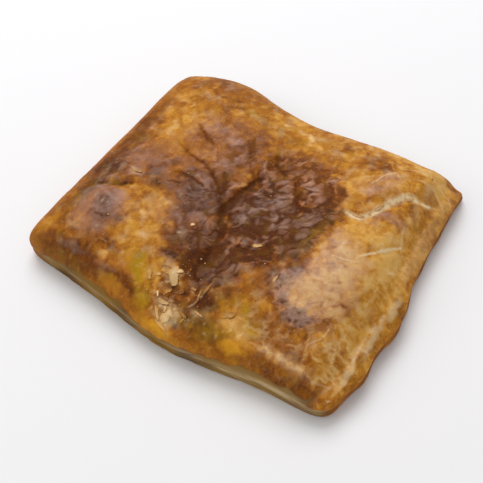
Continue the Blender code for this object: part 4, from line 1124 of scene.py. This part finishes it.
# The crumbs
# Dry bits of pastry, broken off as the slice was handled. Most lie round the torn spot, and a few all over
# the lid. Each is an angular grain, half sunk in the dried glaze.
CRUMBS, CRUMB_RINGS, CRUMB_SIDES = 90, 4, 7
CRUMB_RADIUS, CRUMB_SQUASH = (0.12, 0.34), 0.8
CRUMB_PLACES = [
    (-3, -45, 12, 14, 0, 1), (-46, -31, 6, 5, 0, 0.3), (-2, -33, 6, 4, 0, 0.6), (46, 22, 16, 10, 50, 0.2),
]

dice = np.random.default_rng(211)
likely = ((patches(x, y, CRUMB_PLACES) + 0.03) * (np.abs(lid_u) < 0.88) * (np.abs(lid_v) < 0.88)).ravel()
chosen = dice.choice(x.size, CRUMBS, replace=False, p=likely / likely.sum())
radius = dice.uniform(*CRUMB_RADIUS, (CRUMBS, 1, 1))
radius = radius * dice.uniform(0.65, 1.25, (CRUMBS, CRUMB_RINGS, CRUMB_SIDES))
tilt = (np.pi * np.arange(1, CRUMB_RINGS + 1) / (CRUMB_RINGS + 1))[:, None]
spin = 2 * np.pi * np.arange(CRUMB_SIDES) / CRUMB_SIDES
middle = lid_grid.reshape(-1, 3)[chosen][:, None, None]
flat_x, flat_y = np.sin(tilt) * np.cos(spin), np.sin(tilt) * np.sin(spin)
ball = np.stack([flat_x, flat_y, CRUMB_SQUASH * np.cos(tilt) + 0 * spin], axis=-1)
grains = middle + radius[..., None] * ball
pole_height = dice.uniform(0.5, 0.8, (CRUMBS, 2, 1)) * radius.mean(axis=(1, 2))[:, None, None]
poles = middle[:, 0] + pole_height * [[0, 0, 1], [0, 0, -1]]
crumb_points = np.concatenate([grains.reshape(CRUMBS, -1, 3), poles], axis=1)
grain_number = np.arange(CRUMB_RINGS * CRUMB_SIDES).reshape(CRUMB_RINGS, CRUMB_SIDES)
caps = end_fans(grain_number, grain_number.size)
size = crumb_points.shape[1]
crumb_quads, crumb_caps = repeated(band_quads(grain_number), CRUMBS, size), repeated(caps, CRUMBS, size)
crumb_data = make_mesh("crumbs", crumb_points.reshape(-1, 3), crumb_quads, crumb_caps)
crumb_bake, crumb_pale = dice.uniform(0.25, 0.75, CRUMBS), 0.8 * dice.uniform(0, 1, CRUMBS) ** 3
paint(crumb_data, bake=np.repeat(crumb_bake, size), pale=np.repeat(crumb_pale, size))
crumb_skin = dough_material("crumbled_dough", ("bake", "pale"), 0.22, 0.6, 0.0, 0.2)
seat("crumbs", crumb_data, crumb_skin)

# The floor, light and camera
# A plain near-white surface under soft light: a broad cool panel behind the slice, which its glaze mirrors,
# a softer one at its front left, and an even sky. The camera stands where the photograph was taken.
FLOOR_SIZE = 4000.0
LENS, CAMERA_PLACE = 52.26, (97.3, -130.4, 237.7)
CAMERA_RIGHT, CAMERA_UP = (0.8363, 0.5453, -0.0575), (-0.429, 0.716, 0.5507)


def plain_material(name, colour, roughness):
    """One plain colour."""
    material = bpy.data.materials.new(name)
    material.use_nodes = True
    shader = material.node_tree.nodes["Principled BSDF"]
    shader.inputs["Base Color"].default_value = colour
    shader.inputs["Roughness"].default_value = roughness
    return material


floor_corners = np.array([[-1, -1, 0], [1, -1, 0], [1, 1, 0], [-1, 1, 0]]) * FLOOR_SIZE / 2
floor_data = make_mesh("floor", floor_corners, np.array([[0, 1, 2, 3]]), np.empty((0, 3), int))
floor_data.materials.append(plain_material("pale_floor", (0.95, 0.95, 0.95, 1.0), 0.8))
floor = bpy.data.objects.new("floor", floor_data)
bpy.context.scene.collection.objects.link(floor)


def panel(name, place, size, power, colour):
    """A square soft light at a place in millimetres, facing the slice."""
    data = bpy.data.lights.new(name, "AREA")
    data.shape = "SQUARE"
    data.size = size * MM
    data.energy = power
    data.color = colour
    light = bpy.data.objects.new(name, data)
    light.location = Vector(place) * MM
    light.rotation_euler = (-light.location).to_track_quat("-Z", "Y").to_euler()
    bpy.context.scene.collection.objects.link(light)


panel("back_panel", (-410, 520, 1000), 800, 8.4, (1.0, 0.985, 1.02))
panel("front_panel", (-900, -700, 900), 900, 3.4, (1.0, 0.98, 0.95))
world = bpy.data.worlds.new("even_sky")
world.use_nodes = True
world.node_tree.nodes["Background"].inputs["Color"].default_value = (1.0, 1.0, 1.0, 1.0)
world.node_tree.nodes["Background"].inputs["Strength"].default_value = 0.46
bpy.context.scene.world = world
bpy.context.scene.view_settings.view_transform = "Standard"

camera_data = bpy.data.cameras.new("camera")
camera_data.lens = LENS
camera = bpy.data.objects.new("camera", camera_data)
right, up = Vector(CAMERA_RIGHT), Vector(CAMERA_UP)
facing = Matrix((right, up, right.cross(up))).transposed()
camera.matrix_world = Matrix.Translation(Vector(CAMERA_PLACE) * MM) @ facing.to_4x4()
bpy.context.scene.collection.objects.link(camera)
bpy.context.scene.camera = camera
